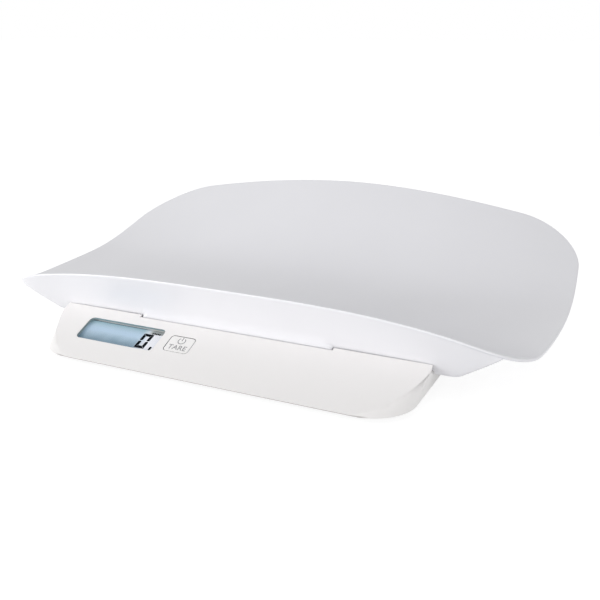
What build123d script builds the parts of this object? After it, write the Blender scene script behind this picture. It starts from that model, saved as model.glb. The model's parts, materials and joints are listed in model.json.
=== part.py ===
"""Digital baby weighing scale with a lift-off tray.

Frame: millimetres, +Z up, X along the tray, -Y towards the console. The origin is on the
surface that the scale stands on, under the middle of its footprint.
"""
from build123d import *
import os
from math import atan, cos, degrees, radians, sin, sqrt, tan

os.makedirs("parts", exist_ok=True)

# ---------------------------------------------------------------- overall sizes
tray_length = 550.0
overall_depth = 362.0
console_front_y = -overall_depth / 2
tray_back_y = overall_depth / 2

# ---------------------------------------------------------------- heights of the stack
foot_pad_height = 2.6
foot_rim_z = 2.0
foot_top_z = 5.4
pan_underside_z = 4.8
pan_thickness = 2.2
cover_bottom_z = pan_underside_z + pan_thickness
deck_height = 20.0
deck_z = cover_bottom_z + deck_height
wall = 2.4

# ---------------------------------------------------------------- tray: plan outline
lip_setback = 45.6
tray_front_y = console_front_y + lip_setback
widest_from_back = 154.6
side_bow_radius = 920.0
front_corner_radius = 61.0
rear_corner_radius = 72.0
widest_y = tray_back_y - widest_from_back
side_centre_x = tray_length / 2 - side_bow_radius

# ---------------------------------------------------------------- tray: lying surface
skin = 3.0
floor_clearance = 2.6
floor_top_z = deck_z + floor_clearance + skin
end_rise = 11.4
well_from_front = 119.4
well_y = tray_front_y + well_from_front
front_bend_from_lip = 52.2
front_bend_softness = 24.4
front_slope_middle = 0.93
front_slope_end = 0.16
back_bend_from_rim = 128.4
back_bend_softness = 41.8
back_slope_middle = 0.744
back_slope_end = 0.369
rim_round = 1.1

# ---------------------------------------------------------------- tray: walls underneath
fascia_wall = 2.6
rim_ledge = 0.3
fascia_foot_setback = 23.0
fascia_foot_y = tray_front_y + fascia_foot_setback
deck_gap = 0.6
deck_side_gap = 1.3
skirt_drop = 3.0
skirt_z = deck_z - skirt_drop
hull_bottom_half = 210.0
hull_corner_radius = 9.0
flank_slope = 37.0
flank_run = 38.0
rear_wall_gap = 8.0
rib = 2.0
rib_clearance = 0.2
pad_radius = 10.0
pad_height = 2.5
pad_recess_depth = 1.0
pad_recess_clearance = 1.0
boss_radius = 9.0
pad_x = 125.0
front_pad_from_lip = 64.0
rear_pad_from_rim = 122.0
pad_rows = (tray_front_y + front_pad_from_lip, tray_back_y - rear_pad_from_rim)

# ---------------------------------------------------------------- base: outline and console
base_half_width = 184.0
base_depth = 288.0
base_front_radius = 40.0
base_rear_radius = 30.0
base_flare = 0.175
console_edge_height = 1.0
console_rise = 26.5
console_depth = 63.8
cheek_start = 48.8
cheek_depth = 60.0
notch_half_width = 100.6
notch_setback = 60.8
tongue_gap = 0.8
tongue_above_deck = 17.0
tongue_top_z = deck_z + tongue_above_deck
deck_round = 2.0

# ---------------------------------------------------------------- console: display, key, board
# lengths across the panel are x, lengths up the panel are v, depths are under the panel
window_from_side = 77.3
window_x = window_from_side - base_half_width
window_v = 40.3
window_length = 87.4
window_height = 29.4
window_corner = 5.0
lens_margin = 2.0
lens_thickness = 1.0
stack_gap = 0.2
lcd_margin = 1.0
lcd_thickness = 2.6
strip_height = 2.0
strip_width = 2.0
holder_wall = 1.5
key_from_window = 66.2
key_x = window_x + key_from_window
key_v = 40.1
key_length = 26.0
key_height = 20.0
key_corner = 3.5
key_gap = 0.3
key_flange = 1.8
key_flange_thickness = 1.0
key_travel = 0.5
key_edge = 0.5
switch_size = 6.0
switch_height = 3.5
plunger_radius = 1.5
plunger_gap = 0.2
board_past_window = 55.3
board_past_key = 22.5
board_left = window_x - board_past_window
board_right = key_x + board_past_key
board_clearance = 0.24
board_height = 35.5
board_corner = 1.5
board_thickness = 1.4
post_radius = 2.5
post_inset = 3.0
small_screw_radius = 1.0
small_head_radius = 2.0
small_head_height = 1.4
screw_gap = 0.1
chip_size = 12.0
chip_height = 1.6
chip_x = window_x - 11.0
chip_v = 38.0
connector_length = 8.0
connector_width = 5.0
connector_height = 5.0
connector_v = 54.5


# ---------------------------------------------------------------- bottom pan and its screws
pan_step = 1.2
pan_bevel_run = 4.0
pan_bevel_rise = 2.0
boss_outer = 4.5
boss_split_z = 10.0
screw_radius = 1.5
screw_head_radius = 2.8
screw_head_height = 1.9
screw_length = 12.0
side_screw_from_side = 12.0
side_screw_x = base_half_width - side_screw_from_side
side_screws_from_front = (104.0, base_depth - 80.0)
rear_screw_x = 100.0
rear_screw_from_front = base_depth - 10.0
middle_screw_from_front = 74.0

# ---------------------------------------------------------------- feet and load cells
cell_from_side = 24.0
cell_x = base_half_width - cell_from_side
cells_from_front = (68.0, base_depth - 36.0)
cell_size = 34.0
cell_thickness = 2.2
cell_slot = 2.0
cell_seat_z = 9.0
ledge = 4.0
foot_radius = 16.0
foot_pad_radius = 13.0
foot_pad_fit = 0.2
foot_edge = 1.0
foot_pad_edge = 0.6
foot_post_radius = 5.0
foot_gap = 0.7
foot_roof_z = 6.0
foot_land_z = 8.2
clamp_length = 50.0
clamp_thickness = 2.0
clamp_window = 22.0
clamp_screw_inset = 3.5
clamp_boss_radius = 3.2
gauge_length = 8.0
gauge_width = 5.0
gauge_thickness = 0.3

# ---------------------------------------------------------------- battery box and its door
battery_count = 4
battery_radius = 5.25
battery_length = 43.7
battery_nub_radius = 1.9
battery_nub = 0.8
battery_pitch = 10.7
battery_z = 12.6
box_from_front = base_depth - 56.0
box_length = 50.0
box_side_gap = 1.0
box_wall = 2.0
box_roof_z = 18.4
land_z = 8.4
contact_thickness = 0.5
contact_size = 8.0
tab_length = 6.0
tab_width = 3.0
spring_width = 6.0
door_thickness = 1.8
door_overlap = 1.6
door_gap = 0.3
door_tongue = 1.6
door_tongue_thickness = 0.8
grip_from_box = 8.0
grip_pitch = 2.4
grip_count = 5
grip_length = 22.0
grip_groove = 1.2
grip_depth = 0.5

# ---------------------------------------------------------------- unit button in the underside
unit_x = -60.0
unit_from_front = 170.0
unit_button_radius = 4.0
unit_button_gap = 0.3
unit_flange_radius = 5.5
unit_flange_thickness = 1.0
unit_recess = 0.3
unit_button_edge = 0.5
unit_board_length = 26.0
unit_board_width = 14.0
unit_post_x = 10.0

# ================================================================ shape rules of the tray
def ramp(distance, softness):
    """Smooth hinge: nothing well before the bend, a straight slope well past it."""
    return (sqrt(distance**2 + softness**2) + distance) / 2


def lying_height(x, y):
    """Height of the lying surface: floor, plus rising ends, front lip and back."""
    along = abs(x) / (tray_length / 2)
    front_slope = front_slope_middle - (front_slope_middle - front_slope_end) * along**3
    back_slope = back_slope_middle - (back_slope_middle - back_slope_end) * along**2
    to_front = tray_front_y + front_bend_from_lip
    to_back = tray_back_y - back_bend_from_rim
    front_rise = ramp(to_front - y, front_bend_softness) - ramp(to_front - well_y, front_bend_softness)
    back_rise = ramp(y - to_back, back_bend_softness) - ramp(well_y - to_back, back_bend_softness)
    return floor_top_z + end_rise * along**3 + front_slope * front_rise + back_slope * back_rise


def corner_circle(edge_y, radius):
    """Centre of a corner's arc, and the point where it runs into the bowed side."""
    inward = 1 if edge_y < widest_y else -1
    centre_y = edge_y + inward * radius
    centre_x = side_centre_x + sqrt((side_bow_radius - radius) ** 2 - (centre_y - widest_y) ** 2)
    reach = side_bow_radius / (side_bow_radius - radius)
    touch = (
        side_centre_x + (centre_x - side_centre_x) * reach,
        widest_y + (centre_y - widest_y) * reach,
    )
    return (centre_x, centre_y), touch


def lip_y(x):
    """Front edge of the plan outline at a given place along the tray."""
    (centre_x, centre_y), _ = corner_circle(tray_front_y, front_corner_radius)
    past = max(abs(x) - centre_x, 0)
    return centre_y - sqrt(front_corner_radius**2 - past**2)


def arc_middle(centre, start, end):
    """Middle point of the short arc between two points around a centre."""
    middle = Vector((start[0] + end[0]) / 2, (start[1] + end[1]) / 2)
    out = (middle - Vector(*centre)).normalized()
    return Vector(*centre) + out * (Vector(*start) - Vector(*centre)).length


(front_cx, front_cy), front_touch = corner_circle(tray_front_y, front_corner_radius)
(rear_cx, rear_cy), rear_touch = corner_circle(tray_back_y, rear_corner_radius)
tall = 160.0

with BuildSketch(Plane.XY) as tray_outline:
    with BuildLine():
        front_start = (front_cx, tray_front_y)
        rear_end = (rear_cx, tray_back_y)
        Line((0, tray_front_y), front_start)
        ThreePointArc(front_start, arc_middle((front_cx, front_cy), front_start, front_touch), front_touch)
        ThreePointArc(front_touch, (tray_length / 2, widest_y), rear_touch)
        ThreePointArc(rear_touch, arc_middle((rear_cx, rear_cy), rear_touch, rear_end), rear_end)
        Line(rear_end, (0, tray_back_y))
        Line((0, tray_back_y), (0, tray_front_y))
    make_face()
    mirror(about=Plane.YZ)

# The lying surface as one spline face that runs a little past the outline on every side.
margin = 12.0
columns, rows = 30, 24
surface_points = [
    [
        Vector(x, y, lying_height(x, y))
        for x in [(-1 + 2 * i / columns) * (tray_length / 2 + margin) for i in range(columns + 1)]
    ]
    for y in [
        tray_front_y - margin + j / rows * (tray_back_y - tray_front_y + 2 * margin)
        for j in range(rows + 1)
    ]
]
lying_face = Face.make_surface_from_array_of_points(surface_points, tol=0.02, min_deg=3)

# ================================================================ tray
def hull_section(x, inset):
    """Section of the space under the skin: leaning fascia in front, upright wall at the rear."""
    held = min(abs(x), front_cx + 0.75 * front_corner_radius)
    lip = (lip_y(held) + rim_ledge, lying_height(held, lip_y(held)))
    lean = (fascia_foot_y - lip[0]) / (lip[1] - deck_z)
    through = inset * sqrt(1 + lean**2)
    below = 2 * skirt_drop
    return (
        (lip[0] + through, lip[1]),
        (fascia_foot_y + lean * below + through, deck_z - below),
        (rear_wall_y - inset, deck_z - below),
        (rear_wall_y - inset, tall),
    )


def hull_profile_points(inset):
    """Right half of the hull seen from the front: bottom, rising flank, upright end."""
    slope = radians(flank_slope)
    end_x = hull_bottom_half + flank_run - inset
    low_x = hull_bottom_half - inset / sin(slope)
    end_z = skirt_z + (end_x - low_x) * tan(slope)
    bottom = [(0, skirt_z), (low_x, skirt_z)]
    if inset:
        bottom = [(0, skirt_z - skirt_drop), (low_x, skirt_z - skirt_drop), (low_x, skirt_z)]
    return bottom + [(end_x, end_z), (end_x, tall), (0, tall)]


rear_wall_y = console_front_y + base_depth + base_flare * deck_height + rear_wall_gap
lip_shares = (0, 0.4, 0.75, 1)
corner_shares = (0.35, 0.6, 0.75)
half_stations = [front_cx * share for share in lip_shares]
half_stations += [front_cx + front_corner_radius * share for share in corner_shares]
half_stations.append(tray_length / 2)
lip_stations = [-x for x in reversed(half_stations[1:])] + half_stations
behind_tray = Plane.XZ.offset(-tray_back_y)

with BuildPart() as tray_skin:
    thicken(lying_face, amount=skin, normal_override=(0, 0, -1))
    extrude(tray_outline.sketch, amount=tall, mode=Mode.INTERSECT)
    fillet(tray_skin.edges().filter_by(Axis.Z, reverse=True), radius=rim_round)

with BuildPart() as room_below_skin:
    # everything under the middle of the skin: walls and ribs are trimmed to it
    extrude(lying_face.moved(Location((0, 0, -skin / 2))), amount=tall, dir=(0, 0, -1))

with BuildPart() as hull:
    for x in lip_stations:
        with BuildSketch(Plane.YZ.offset(x)):
            Polygon(*hull_section(x, 0), align=None)
    loft(ruled=True)
    with BuildSketch(behind_tray) as hull_profile:
        Polygon(*hull_profile_points(0), align=None)
        corner = hull_profile.vertices().sort_by(Axis.Z)[:2].sort_by(Axis.X)[-1]
        fillet(corner, radius=hull_corner_radius)
        mirror(about=Plane.YZ)
    extrude(amount=overall_depth, mode=Mode.INTERSECT)

with BuildPart() as hull_cavity:
    for x in lip_stations:
        with BuildSketch(Plane.YZ.offset(x)):
            Polygon(*hull_section(x, fascia_wall), align=None)
    loft(ruled=True)
    with BuildSketch(behind_tray) as cavity_profile:
        Polygon(*hull_profile_points(fascia_wall), align=None)
        mirror(about=Plane.YZ)
    extrude(amount=overall_depth, mode=Mode.INTERSECT)

tongue_half = notch_half_width - tongue_gap
tongue_y = console_front_y + notch_setback + tongue_gap
tongue_foot_z = deck_z + deck_gap
tongue_depth = fascia_foot_y + fascia_wall - tongue_y
tongue_height = tongue_top_z - tongue_foot_z
deck_half = base_half_width + base_flare * deck_height
pad_top_z = deck_z - pad_recess_depth + pad_height
rib_foot_z = pad_top_z + rib_clearance
on_floor = (Align.CENTER, Align.MIN, Align.MIN)

with BuildPart() as tray_ribs:
    # ribs across and along, above the deck, and a boss for each pad
    hull_length = 2 * (hull_bottom_half + flank_run)
    for y in pad_rows:
        with Locations((0, y, rib_foot_z)):
            Box(hull_length, rib, tall, align=(Align.CENTER, Align.CENTER, Align.MIN))
    for x in (-pad_x, -pad_x / 2, 0, pad_x / 2, pad_x):
        with Locations((x, tray_front_y, rib_foot_z)):
            Box(rib, rear_wall_y - tray_front_y, tall, align=on_floor)
    with Locations(*[(x, y, pad_top_z) for x in (-pad_x, pad_x) for y in pad_rows]):
        Cylinder(boss_radius, tall, align=(Align.CENTER, Align.CENTER, Align.MIN))
    add(hull_cavity.part, mode=Mode.INTERSECT)

with BuildPart() as tray:
    add(hull.part)
    # the tongue stands upright in front of the leaning fascia and is open behind and below
    with Locations((0, tongue_y, tongue_foot_z)):
        Box(2 * tongue_half, tongue_depth, tongue_height, align=on_floor)
    with Locations((0, tongue_y + fascia_wall, tongue_foot_z - fascia_wall)):
        Box(
            2 * (tongue_half - fascia_wall),
            tongue_depth,
            tongue_height,
            align=on_floor,
            mode=Mode.SUBTRACT,
        )
    add(hull_cavity.part, mode=Mode.SUBTRACT)
    # room for the deck of the base under the fascia
    with Locations((0, console_front_y, skirt_z - skirt_drop)):
        Box(
            2 * (deck_half + deck_side_gap),
            rear_wall_y - fascia_wall - console_front_y,
            tongue_foot_z - skirt_z + skirt_drop,
            align=on_floor,
            mode=Mode.SUBTRACT,
        )
    add(tray_ribs.part)
    add(room_below_skin.part, mode=Mode.INTERSECT)
    add(tray_skin.part)
tray.part.label = "tray"
export_step(tray.part, "parts/tray.step")

# ================================================================ rubber pads under the tray
with BuildPart() as tray_pads:
    with Locations(*[(x, y, deck_z - pad_recess_depth) for x in (-pad_x, pad_x) for y in pad_rows]):
        Cylinder(pad_radius, pad_height, align=(Align.CENTER, Align.CENTER, Align.MIN))
tray_pads.part.label = "tray_pads"
export_step(tray_pads.part, "parts/tray_pads.step")

# ================================================================ top cover of the base
panel_slope = atan(console_rise / console_depth)
panel = Plane(
    origin=(0, console_front_y, cover_bottom_z + console_edge_height),
    x_dir=(1, 0, 0),
    z_dir=(0, -sin(panel_slope), cos(panel_slope)),
)
panel_half_width = base_half_width + base_flare * (console_edge_height + console_rise)


def two_sided(plane, corner, back):
    """Closed outline: straight front, a curved corner and a straight side on each hand."""
    left = [(-x, y) for x, y in reversed(corner)]
    with BuildSketch(plane) as outline:
        with BuildLine():
            Line(left[-1], corner[0])
            Bezier(*corner)
            Line(corner[-1], (back[0], back[1]))
            Line((back[0], back[1]), (-back[0], back[1]))
            Line((-back[0], back[1]), left[0])
            Bezier(*left)
        make_face()
    return outline.sketch


def console_foot(inset, back_y):
    """Outline of the console on the parting plane; its corners are near enough round."""
    front = console_front_y + inset / sin(panel_slope)
    half = base_half_width - inset
    radius = base_front_radius - inset
    grip = 0.5523 * radius
    corner = [
        (half - radius, front),
        (half - radius + grip, front),
        (half, front + radius - grip),
        (half, front + radius),
    ]
    return two_sided(Plane.XY.offset(cover_bottom_z), corner, (half, back_y))


def console_panel(inset, back_y):
    """Outline of the sloping panel, on the panel's own plane sunk by the inset."""
    front = inset / tan(panel_slope)
    half = panel_half_width - inset
    corner = [
        (half - cheek_start, front),
        (half - 0.59 * cheek_start, front + 0.1 * cheek_depth),
        (half - 0.14 * cheek_start, front + 0.53 * cheek_depth),
        (half, max(front, cheek_depth - inset)),
    ]
    back = (back_y - console_front_y - inset * sin(panel_slope)) / cos(panel_slope)
    return two_sided(panel.offset(-inset), corner, (half, back))


def slab_outline(z, inset, front_y):
    """Outline of the base behind the console at a given height: its walls flare upwards."""
    flare = base_flare * (z - cover_bottom_z)
    half = base_half_width + flare - inset
    rear = console_front_y + base_depth + flare - inset
    with BuildSketch(Plane.XY.offset(z)) as outline:
        with BuildLine():
            Polyline((-half, rear), (-half, front_y), (half, front_y), (half, rear))
            Line((half, rear), (-half, rear))
        make_face()
        rear_corners = outline.vertices().group_by(Axis.Y)[-1]
        fillet(rear_corners, radius=base_rear_radius - inset)
    return outline.sketch


console_back_y = console_front_y + console_depth
notch_y = console_front_y + notch_setback
deck_underside_z = deck_z - wall
lens_depth = wall
lcd_depth = lens_depth + lens_thickness + stack_gap
board_depth = lcd_depth + lcd_thickness + strip_height
board_back = board_depth + board_thickness
# the lowest screw heads clear the bottom pan
post_low_v = (
    board_clearance - console_edge_height + (board_back + small_head_height) * cos(panel_slope)
) / sin(panel_slope) + small_head_radius
board_low_v = post_low_v - small_head_radius
board_high_v = board_low_v + board_height
post_places = [
    (x, v)
    for x in (board_left + post_inset, board_right - post_inset)
    for v in (post_low_v, board_high_v - post_inset)
]
housing_screws_at = [
    (x, console_front_y + y) for x in (-side_screw_x, side_screw_x) for y in side_screws_from_front
]
housing_screws_at += [
    (x, console_front_y + rear_screw_from_front) for x in (-rear_screw_x, rear_screw_x)
]
housing_screws_at.append((0, console_front_y + middle_screw_from_front))
upward = (Align.CENTER, Align.CENTER, Align.MIN)
downward = (Align.CENTER, Align.CENTER, Align.MAX)

with BuildPart() as base_deck:
    loft(
        [slab_outline(cover_bottom_z, 0, console_back_y), slab_outline(deck_z, 0, console_back_y)],
        ruled=True,
    )
    deck_rim = base_deck.edges().group_by(Axis.Z)[-1].sort_by(Axis.Y)[1:]
    fillet(deck_rim, radius=deck_round)

with BuildPart() as base_cover:
    loft([console_foot(0, console_back_y), console_panel(0, console_back_y)], ruled=True)
    add(base_deck.part)
    with Locations((0, notch_y, deck_z)):
        Box(2 * notch_half_width, console_depth, console_rise, align=on_floor, mode=Mode.SUBTRACT)
    # the inside follows the outside, one wall further in
    loft(
        [console_foot(wall, notch_y - wall), console_panel(wall, notch_y - wall)],
        ruled=True,
        mode=Mode.SUBTRACT,
    )
    loft(
        [
            slab_outline(cover_bottom_z, wall, notch_y - 2 * wall),
            slab_outline(deck_underside_z, wall, notch_y - 2 * wall),
        ],
        ruled=True,
        mode=Mode.SUBTRACT,
    )
    # display window and key opening, cut square to the panel
    with BuildSketch(panel):
        with Locations((window_x, window_v)):
            RectangleRounded(window_length, window_height, window_corner)
        with Locations((key_x, key_v)):
            RectangleRounded(
                key_length + 2 * key_gap, key_height + 2 * key_gap, key_corner + key_gap
            )
    extrude(amount=-wall, mode=Mode.SUBTRACT)
    # posts for the board, drilled from behind
    with BuildSketch(panel.offset(-wall)):
        with Locations(*post_places):
            Circle(post_radius)
    extrude(amount=wall - board_depth)
    with BuildSketch(panel.offset(-board_depth)):
        with Locations(*post_places):
            Circle(small_screw_radius + screw_gap)
    extrude(amount=board_depth - wall, mode=Mode.SUBTRACT)
    # screw bosses under the deck and dished seats for the pads on top of it
    with Locations(*[(x, y, deck_underside_z) for x, y in housing_screws_at]):
        Cylinder(boss_outer, deck_underside_z - boss_split_z, align=downward)
        Cylinder(
            screw_radius + screw_gap,
            deck_underside_z - boss_split_z,
            align=downward,
            mode=Mode.SUBTRACT,
        )
    with Locations(*[(x, y, deck_z) for x in (-pad_x, pad_x) for y in pad_rows]):
        Cylinder(pad_radius + pad_recess_clearance, pad_recess_depth, align=downward, mode=Mode.SUBTRACT)
base_cover.part.label = "base_cover"
export_step(base_cover.part, "parts/base_cover.step")

# ================================================================ display and board
with BuildPart() as display_window:
    with BuildSketch(panel.offset(-lens_depth)):
        with Locations((window_x, window_v)):
            RectangleRounded(
                window_length + 2 * lens_margin, window_height + 2 * lens_margin, window_corner
            )
    extrude(amount=-lens_thickness)
display_window.part.label = "display_window"
export_step(display_window.part, "parts/display_window.step")

lcd_length = window_length + 2 * lcd_margin
lcd_height = window_height + 2 * lcd_margin
with BuildPart() as lcd_panel:
    # two sheets of glass; the lower one is longer and carries the contacts
    with BuildSketch(panel.offset(-lcd_depth)):
        with Locations((window_x, window_v)):
            Rectangle(lcd_length, lcd_height - 2 * strip_width)
    extrude(amount=-lcd_thickness / 2)
    with BuildSketch(panel.offset(-lcd_depth - lcd_thickness / 2)):
        with Locations((window_x, window_v)):
            Rectangle(lcd_length, lcd_height)
    extrude(amount=-lcd_thickness / 2)
lcd_panel.part.label = "lcd_panel"
export_step(lcd_panel.part, "parts/lcd_panel.step")

with BuildPart() as lcd_connectors:
    with BuildSketch(panel.offset(-lcd_depth - lcd_thickness)):
        reach = (lcd_height - strip_width) / 2 - stack_gap
        with Locations((window_x, window_v - reach), (window_x, window_v + reach)):
            Rectangle(window_length, strip_width)
    extrude(amount=-strip_height)
lcd_connectors.part.label = "lcd_connectors"
export_step(lcd_connectors.part, "parts/lcd_connectors.step")

with BuildPart() as backlight_panel:
    with BuildSketch(panel.offset(-lcd_depth - lcd_thickness - stack_gap / 2)):
        with Locations((window_x, window_v)):
            Rectangle(lcd_length, lcd_height - 2 * (strip_width + 2 * stack_gap))
    extrude(amount=stack_gap / 2 - strip_height)
backlight_panel.part.label = "backlight_panel"
export_step(backlight_panel.part, "parts/backlight_panel.step")

with BuildPart() as lcd_holder:
    with BuildSketch(panel.offset(-lens_depth - lens_thickness)):
        with Locations((window_x, window_v)):
            Rectangle(
                lcd_length + 2 * (stack_gap + holder_wall), lcd_height + 2 * (stack_gap + holder_wall)
            )
            Rectangle(lcd_length + 2 * stack_gap, lcd_height + 2 * stack_gap, mode=Mode.SUBTRACT)
    extrude(amount=lens_depth + lens_thickness - board_depth)
lcd_holder.part.label = "lcd_holder"
export_step(lcd_holder.part, "parts/lcd_holder.step")

with BuildPart() as main_board:
    with BuildSketch(panel.offset(-board_depth)):
        with Locations(((board_left + board_right) / 2, (board_low_v + board_high_v) / 2)):
            RectangleRounded(board_right - board_left, board_height, board_corner)
        with Locations(*post_places):
            Circle(small_screw_radius + screw_gap, mode=Mode.SUBTRACT)
    extrude(amount=-board_thickness)
main_board.part.label = "main_board"
export_step(main_board.part, "parts/main_board.step")

with BuildPart() as controller_chip:
    with BuildSketch(panel.offset(-board_back)):
        with Locations((chip_x, chip_v)):
            Rectangle(chip_size, chip_size)
    extrude(amount=-chip_height)
controller_chip.part.label = "controller_chip"
export_step(controller_chip.part, "parts/controller_chip.step")

lead_x = {
    "front_left": window_x - 17.0,
    "rear_left": window_x - 3.0,
    "unit": window_x + 11.0,
    "battery": window_x + 25.0,
    "rear_right": key_x - 4.5,
    "front_right": key_x + 7.5,
}
with BuildPart() as lead_connectors:
    with BuildSketch(panel.offset(-board_back)):
        with Locations(*[(x, connector_v) for x in lead_x.values()]):
            Rectangle(connector_length, connector_width)
    extrude(amount=-connector_height)
lead_connectors.part.label = "lead_connectors"
export_step(lead_connectors.part, "parts/lead_connectors.step")

# ================================================================ power and tare key
with BuildPart() as tare_key:
    with BuildSketch(panel):
        with Locations((key_x, key_v)):
            RectangleRounded(key_length, key_height, key_corner)
    extrude(amount=-wall - key_gap)
    key_face = tare_key.faces().sort_by_distance(panel.from_local_coords((key_x, key_v, 0)))[0]
    chamfer(key_face.edges(), length=key_edge)
    with BuildSketch(panel.offset(-wall - key_gap)):
        with Locations((key_x, key_v)):
            RectangleRounded(
                key_length + 2 * key_flange, key_height + 2 * key_flange, key_corner + key_flange
            )
    extrude(amount=-key_flange_thickness)
tare_key.part.label = "tare_key"
export_step(tare_key.part, "parts/tare_key.step")

key_back = wall + key_gap + key_flange_thickness
switch_front = board_depth - switch_height
with BuildPart() as tare_switch:
    with BuildSketch(panel.offset(-switch_front)):
        with Locations((key_x, key_v)):
            Rectangle(switch_size, switch_size)
    extrude(amount=-switch_height)
    with BuildSketch(panel.offset(-switch_front)):
        with Locations((key_x, key_v)):
            Circle(plunger_radius + plunger_gap)
    extrude(amount=-switch_height / 2 - plunger_gap, mode=Mode.SUBTRACT)
tare_switch.part.label = "tare_switch"
export_step(tare_switch.part, "parts/tare_switch.step")

with BuildPart() as tare_switch_plunger:
    with BuildSketch(panel.offset(-key_back)):
        with Locations((key_x, key_v)):
            Circle(plunger_radius)
    extrude(amount=key_back - switch_front - switch_height / 2 + key_travel)
tare_switch_plunger.part.label = "tare_switch_plunger"
export_step(tare_switch_plunger.part, "parts/tare_switch_plunger.step")

# ================================================================ bottom pan
pan_top_z = pan_underside_z + pan_thickness
pan_bevel_top = pan_underside_z + pan_bevel_rise
box_front_y = console_front_y + box_from_front
box_rear_y = box_front_y + box_length
outer_cell_x = battery_pitch * (battery_count - 1) / 2
box_half = outer_cell_x + battery_radius + box_side_gap
door_half = box_half + door_overlap
base_rear_y = console_front_y + base_depth
door_tongue_z = pan_underside_z + (door_thickness - door_tongue_thickness) / 2
cells_at = [(x, console_front_y + y) for x in (-cell_x, cell_x) for y in cells_from_front]
unit_y = console_front_y + unit_from_front
unit_flange_z = pan_top_z + unit_button_gap
unit_switch_z = unit_flange_z + unit_flange_thickness + key_travel + plunger_gap
unit_board_z = unit_switch_z + switch_height
rail_offset = (cell_size - ledge) / 2
clamp_screws_at = [
    (x, y + side * (clamp_length / 2 - clamp_screw_inset)) for x, y in cells_at for side in (-1, 1)
]


def pan_outline(z, inset):
    """Outline of the base seen from below, with its four rounded corners."""
    with BuildSketch(Plane.XY.offset(z)) as outline:
        with Locations((0, console_front_y + base_depth / 2)):
            Rectangle(2 * (base_half_width - inset), base_depth - 2 * inset)
        by_depth = outline.vertices().group_by(Axis.Y)
        fillet(by_depth[0], radius=base_front_radius - inset)
        rear_pair = outline.vertices().group_by(Axis.Y)[-1]
        fillet(rear_pair, radius=base_rear_radius - inset)
    return outline.sketch


with BuildPart() as pan_plate:
    # flat plate with a bevel all round its lower edge
    loft(
        [
            pan_outline(pan_underside_z, pan_step + pan_bevel_run),
            pan_outline(pan_bevel_top, pan_step),
        ],
        ruled=True,
    )
    extrude(pan_outline(pan_bevel_top, pan_step), amount=pan_top_z - pan_bevel_top)

with BuildPart() as base_pan:
    add(pan_plate.part)
    # land and box for the cells, open below
    land_half = door_half + door_tongue + box_wall
    land_front = box_front_y - door_overlap - box_wall
    with Locations((0, land_front, pan_top_z)):
        Box(2 * land_half, base_rear_y - wall - 2 * door_gap - land_front, land_z - pan_top_z, align=on_floor)
    with Locations((0, box_front_y - box_wall, pan_top_z)):
        Box(
            2 * (box_half + box_wall),
            box_length + 2 * box_wall,
            box_roof_z + box_wall - pan_top_z,
            align=on_floor,
        )
    with Locations((0, box_front_y, pan_underside_z)):
        Box(2 * box_half, box_length, box_roof_z - pan_underside_z, align=on_floor, mode=Mode.SUBTRACT)
    # door opening, with a groove along each side, running out at the rear edge
    with Locations((0, box_front_y - door_overlap - door_gap, pan_underside_z)):
        Box(
            2 * (door_half + door_gap),
            base_depth,
            pan_thickness,
            align=on_floor,
            mode=Mode.SUBTRACT,
        )
    with Locations((0, box_front_y - door_overlap - door_gap, door_tongue_z - door_gap / 2)):
        Box(
            2 * (door_half + door_tongue + door_gap),
            base_depth,
            door_tongue_thickness + door_gap,
            align=on_floor,
            mode=Mode.SUBTRACT,
        )
    # slots for the solder tabs in the front wall of the box
    with Locations(*[(side * outer_cell_x, box_front_y, battery_z) for side in (-1, 1)]):
        Box(
            tab_width + 2 * screw_gap,
            2 * box_wall,
            contact_thickness + 2 * screw_gap,
            mode=Mode.SUBTRACT,
        )
    # bosses for the housing screws, counterbored from below
    with Locations(*[(x, y, pan_top_z) for x, y in housing_screws_at]):
        Cylinder(boss_outer, boss_split_z - pan_top_z, align=upward)
    with Locations(*[(x, y, pan_underside_z) for x, y in housing_screws_at]):
        Cylinder(
            screw_head_radius + screw_gap,
            screw_head_height + screw_gap,
            align=upward,
            mode=Mode.SUBTRACT,
        )
        Cylinder(
            screw_radius + 2 * screw_gap, boss_split_z - pan_underside_z, align=upward, mode=Mode.SUBTRACT
        )
    # feet: a pocket below, a thicker land above, rails for the load cell and bosses for its clamp
    with Locations(*[(x, y, pan_top_z) for x, y in cells_at]):
        Cylinder(foot_radius + foot_gap + box_wall, foot_land_z - pan_top_z, align=upward)
    for side in (-1, 1):
        with Locations(*[(x, y + side * rail_offset, pan_top_z) for x, y in cells_at]):
            Box(cell_size, ledge, cell_seat_z - pan_top_z, align=upward)
    with Locations(*[(x, y, pan_underside_z) for x, y in cells_at]):
        Cylinder(
            foot_radius + foot_gap, foot_roof_z - pan_underside_z, align=upward, mode=Mode.SUBTRACT
        )
        Cylinder(
            foot_post_radius + foot_gap, foot_land_z - pan_underside_z, align=upward, mode=Mode.SUBTRACT
        )
    clamp_seat_z = cell_seat_z + cell_thickness
    with Locations(*[(x, y, pan_top_z) for x, y in clamp_screws_at]):
        Cylinder(clamp_boss_radius, clamp_seat_z - pan_top_z, align=upward)
        Cylinder(
            small_screw_radius + screw_gap, clamp_seat_z - pan_top_z, align=upward, mode=Mode.SUBTRACT
        )
    # hole for the unit button and posts for its board
    with Locations((unit_x, unit_y, pan_underside_z)):
        Cylinder(unit_button_radius + unit_button_gap, pan_thickness, align=upward, mode=Mode.SUBTRACT)
    with Locations(*[(unit_x + side * unit_post_x, unit_y, pan_top_z) for side in (-1, 1)]):
        Cylinder(post_radius, unit_board_z - pan_top_z, align=upward)
        Cylinder(
            small_screw_radius + screw_gap, unit_board_z - pan_top_z, align=upward, mode=Mode.SUBTRACT
        )
base_pan.part.label = "base_pan"
export_step(base_pan.part, "parts/base_pan.step")

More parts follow.
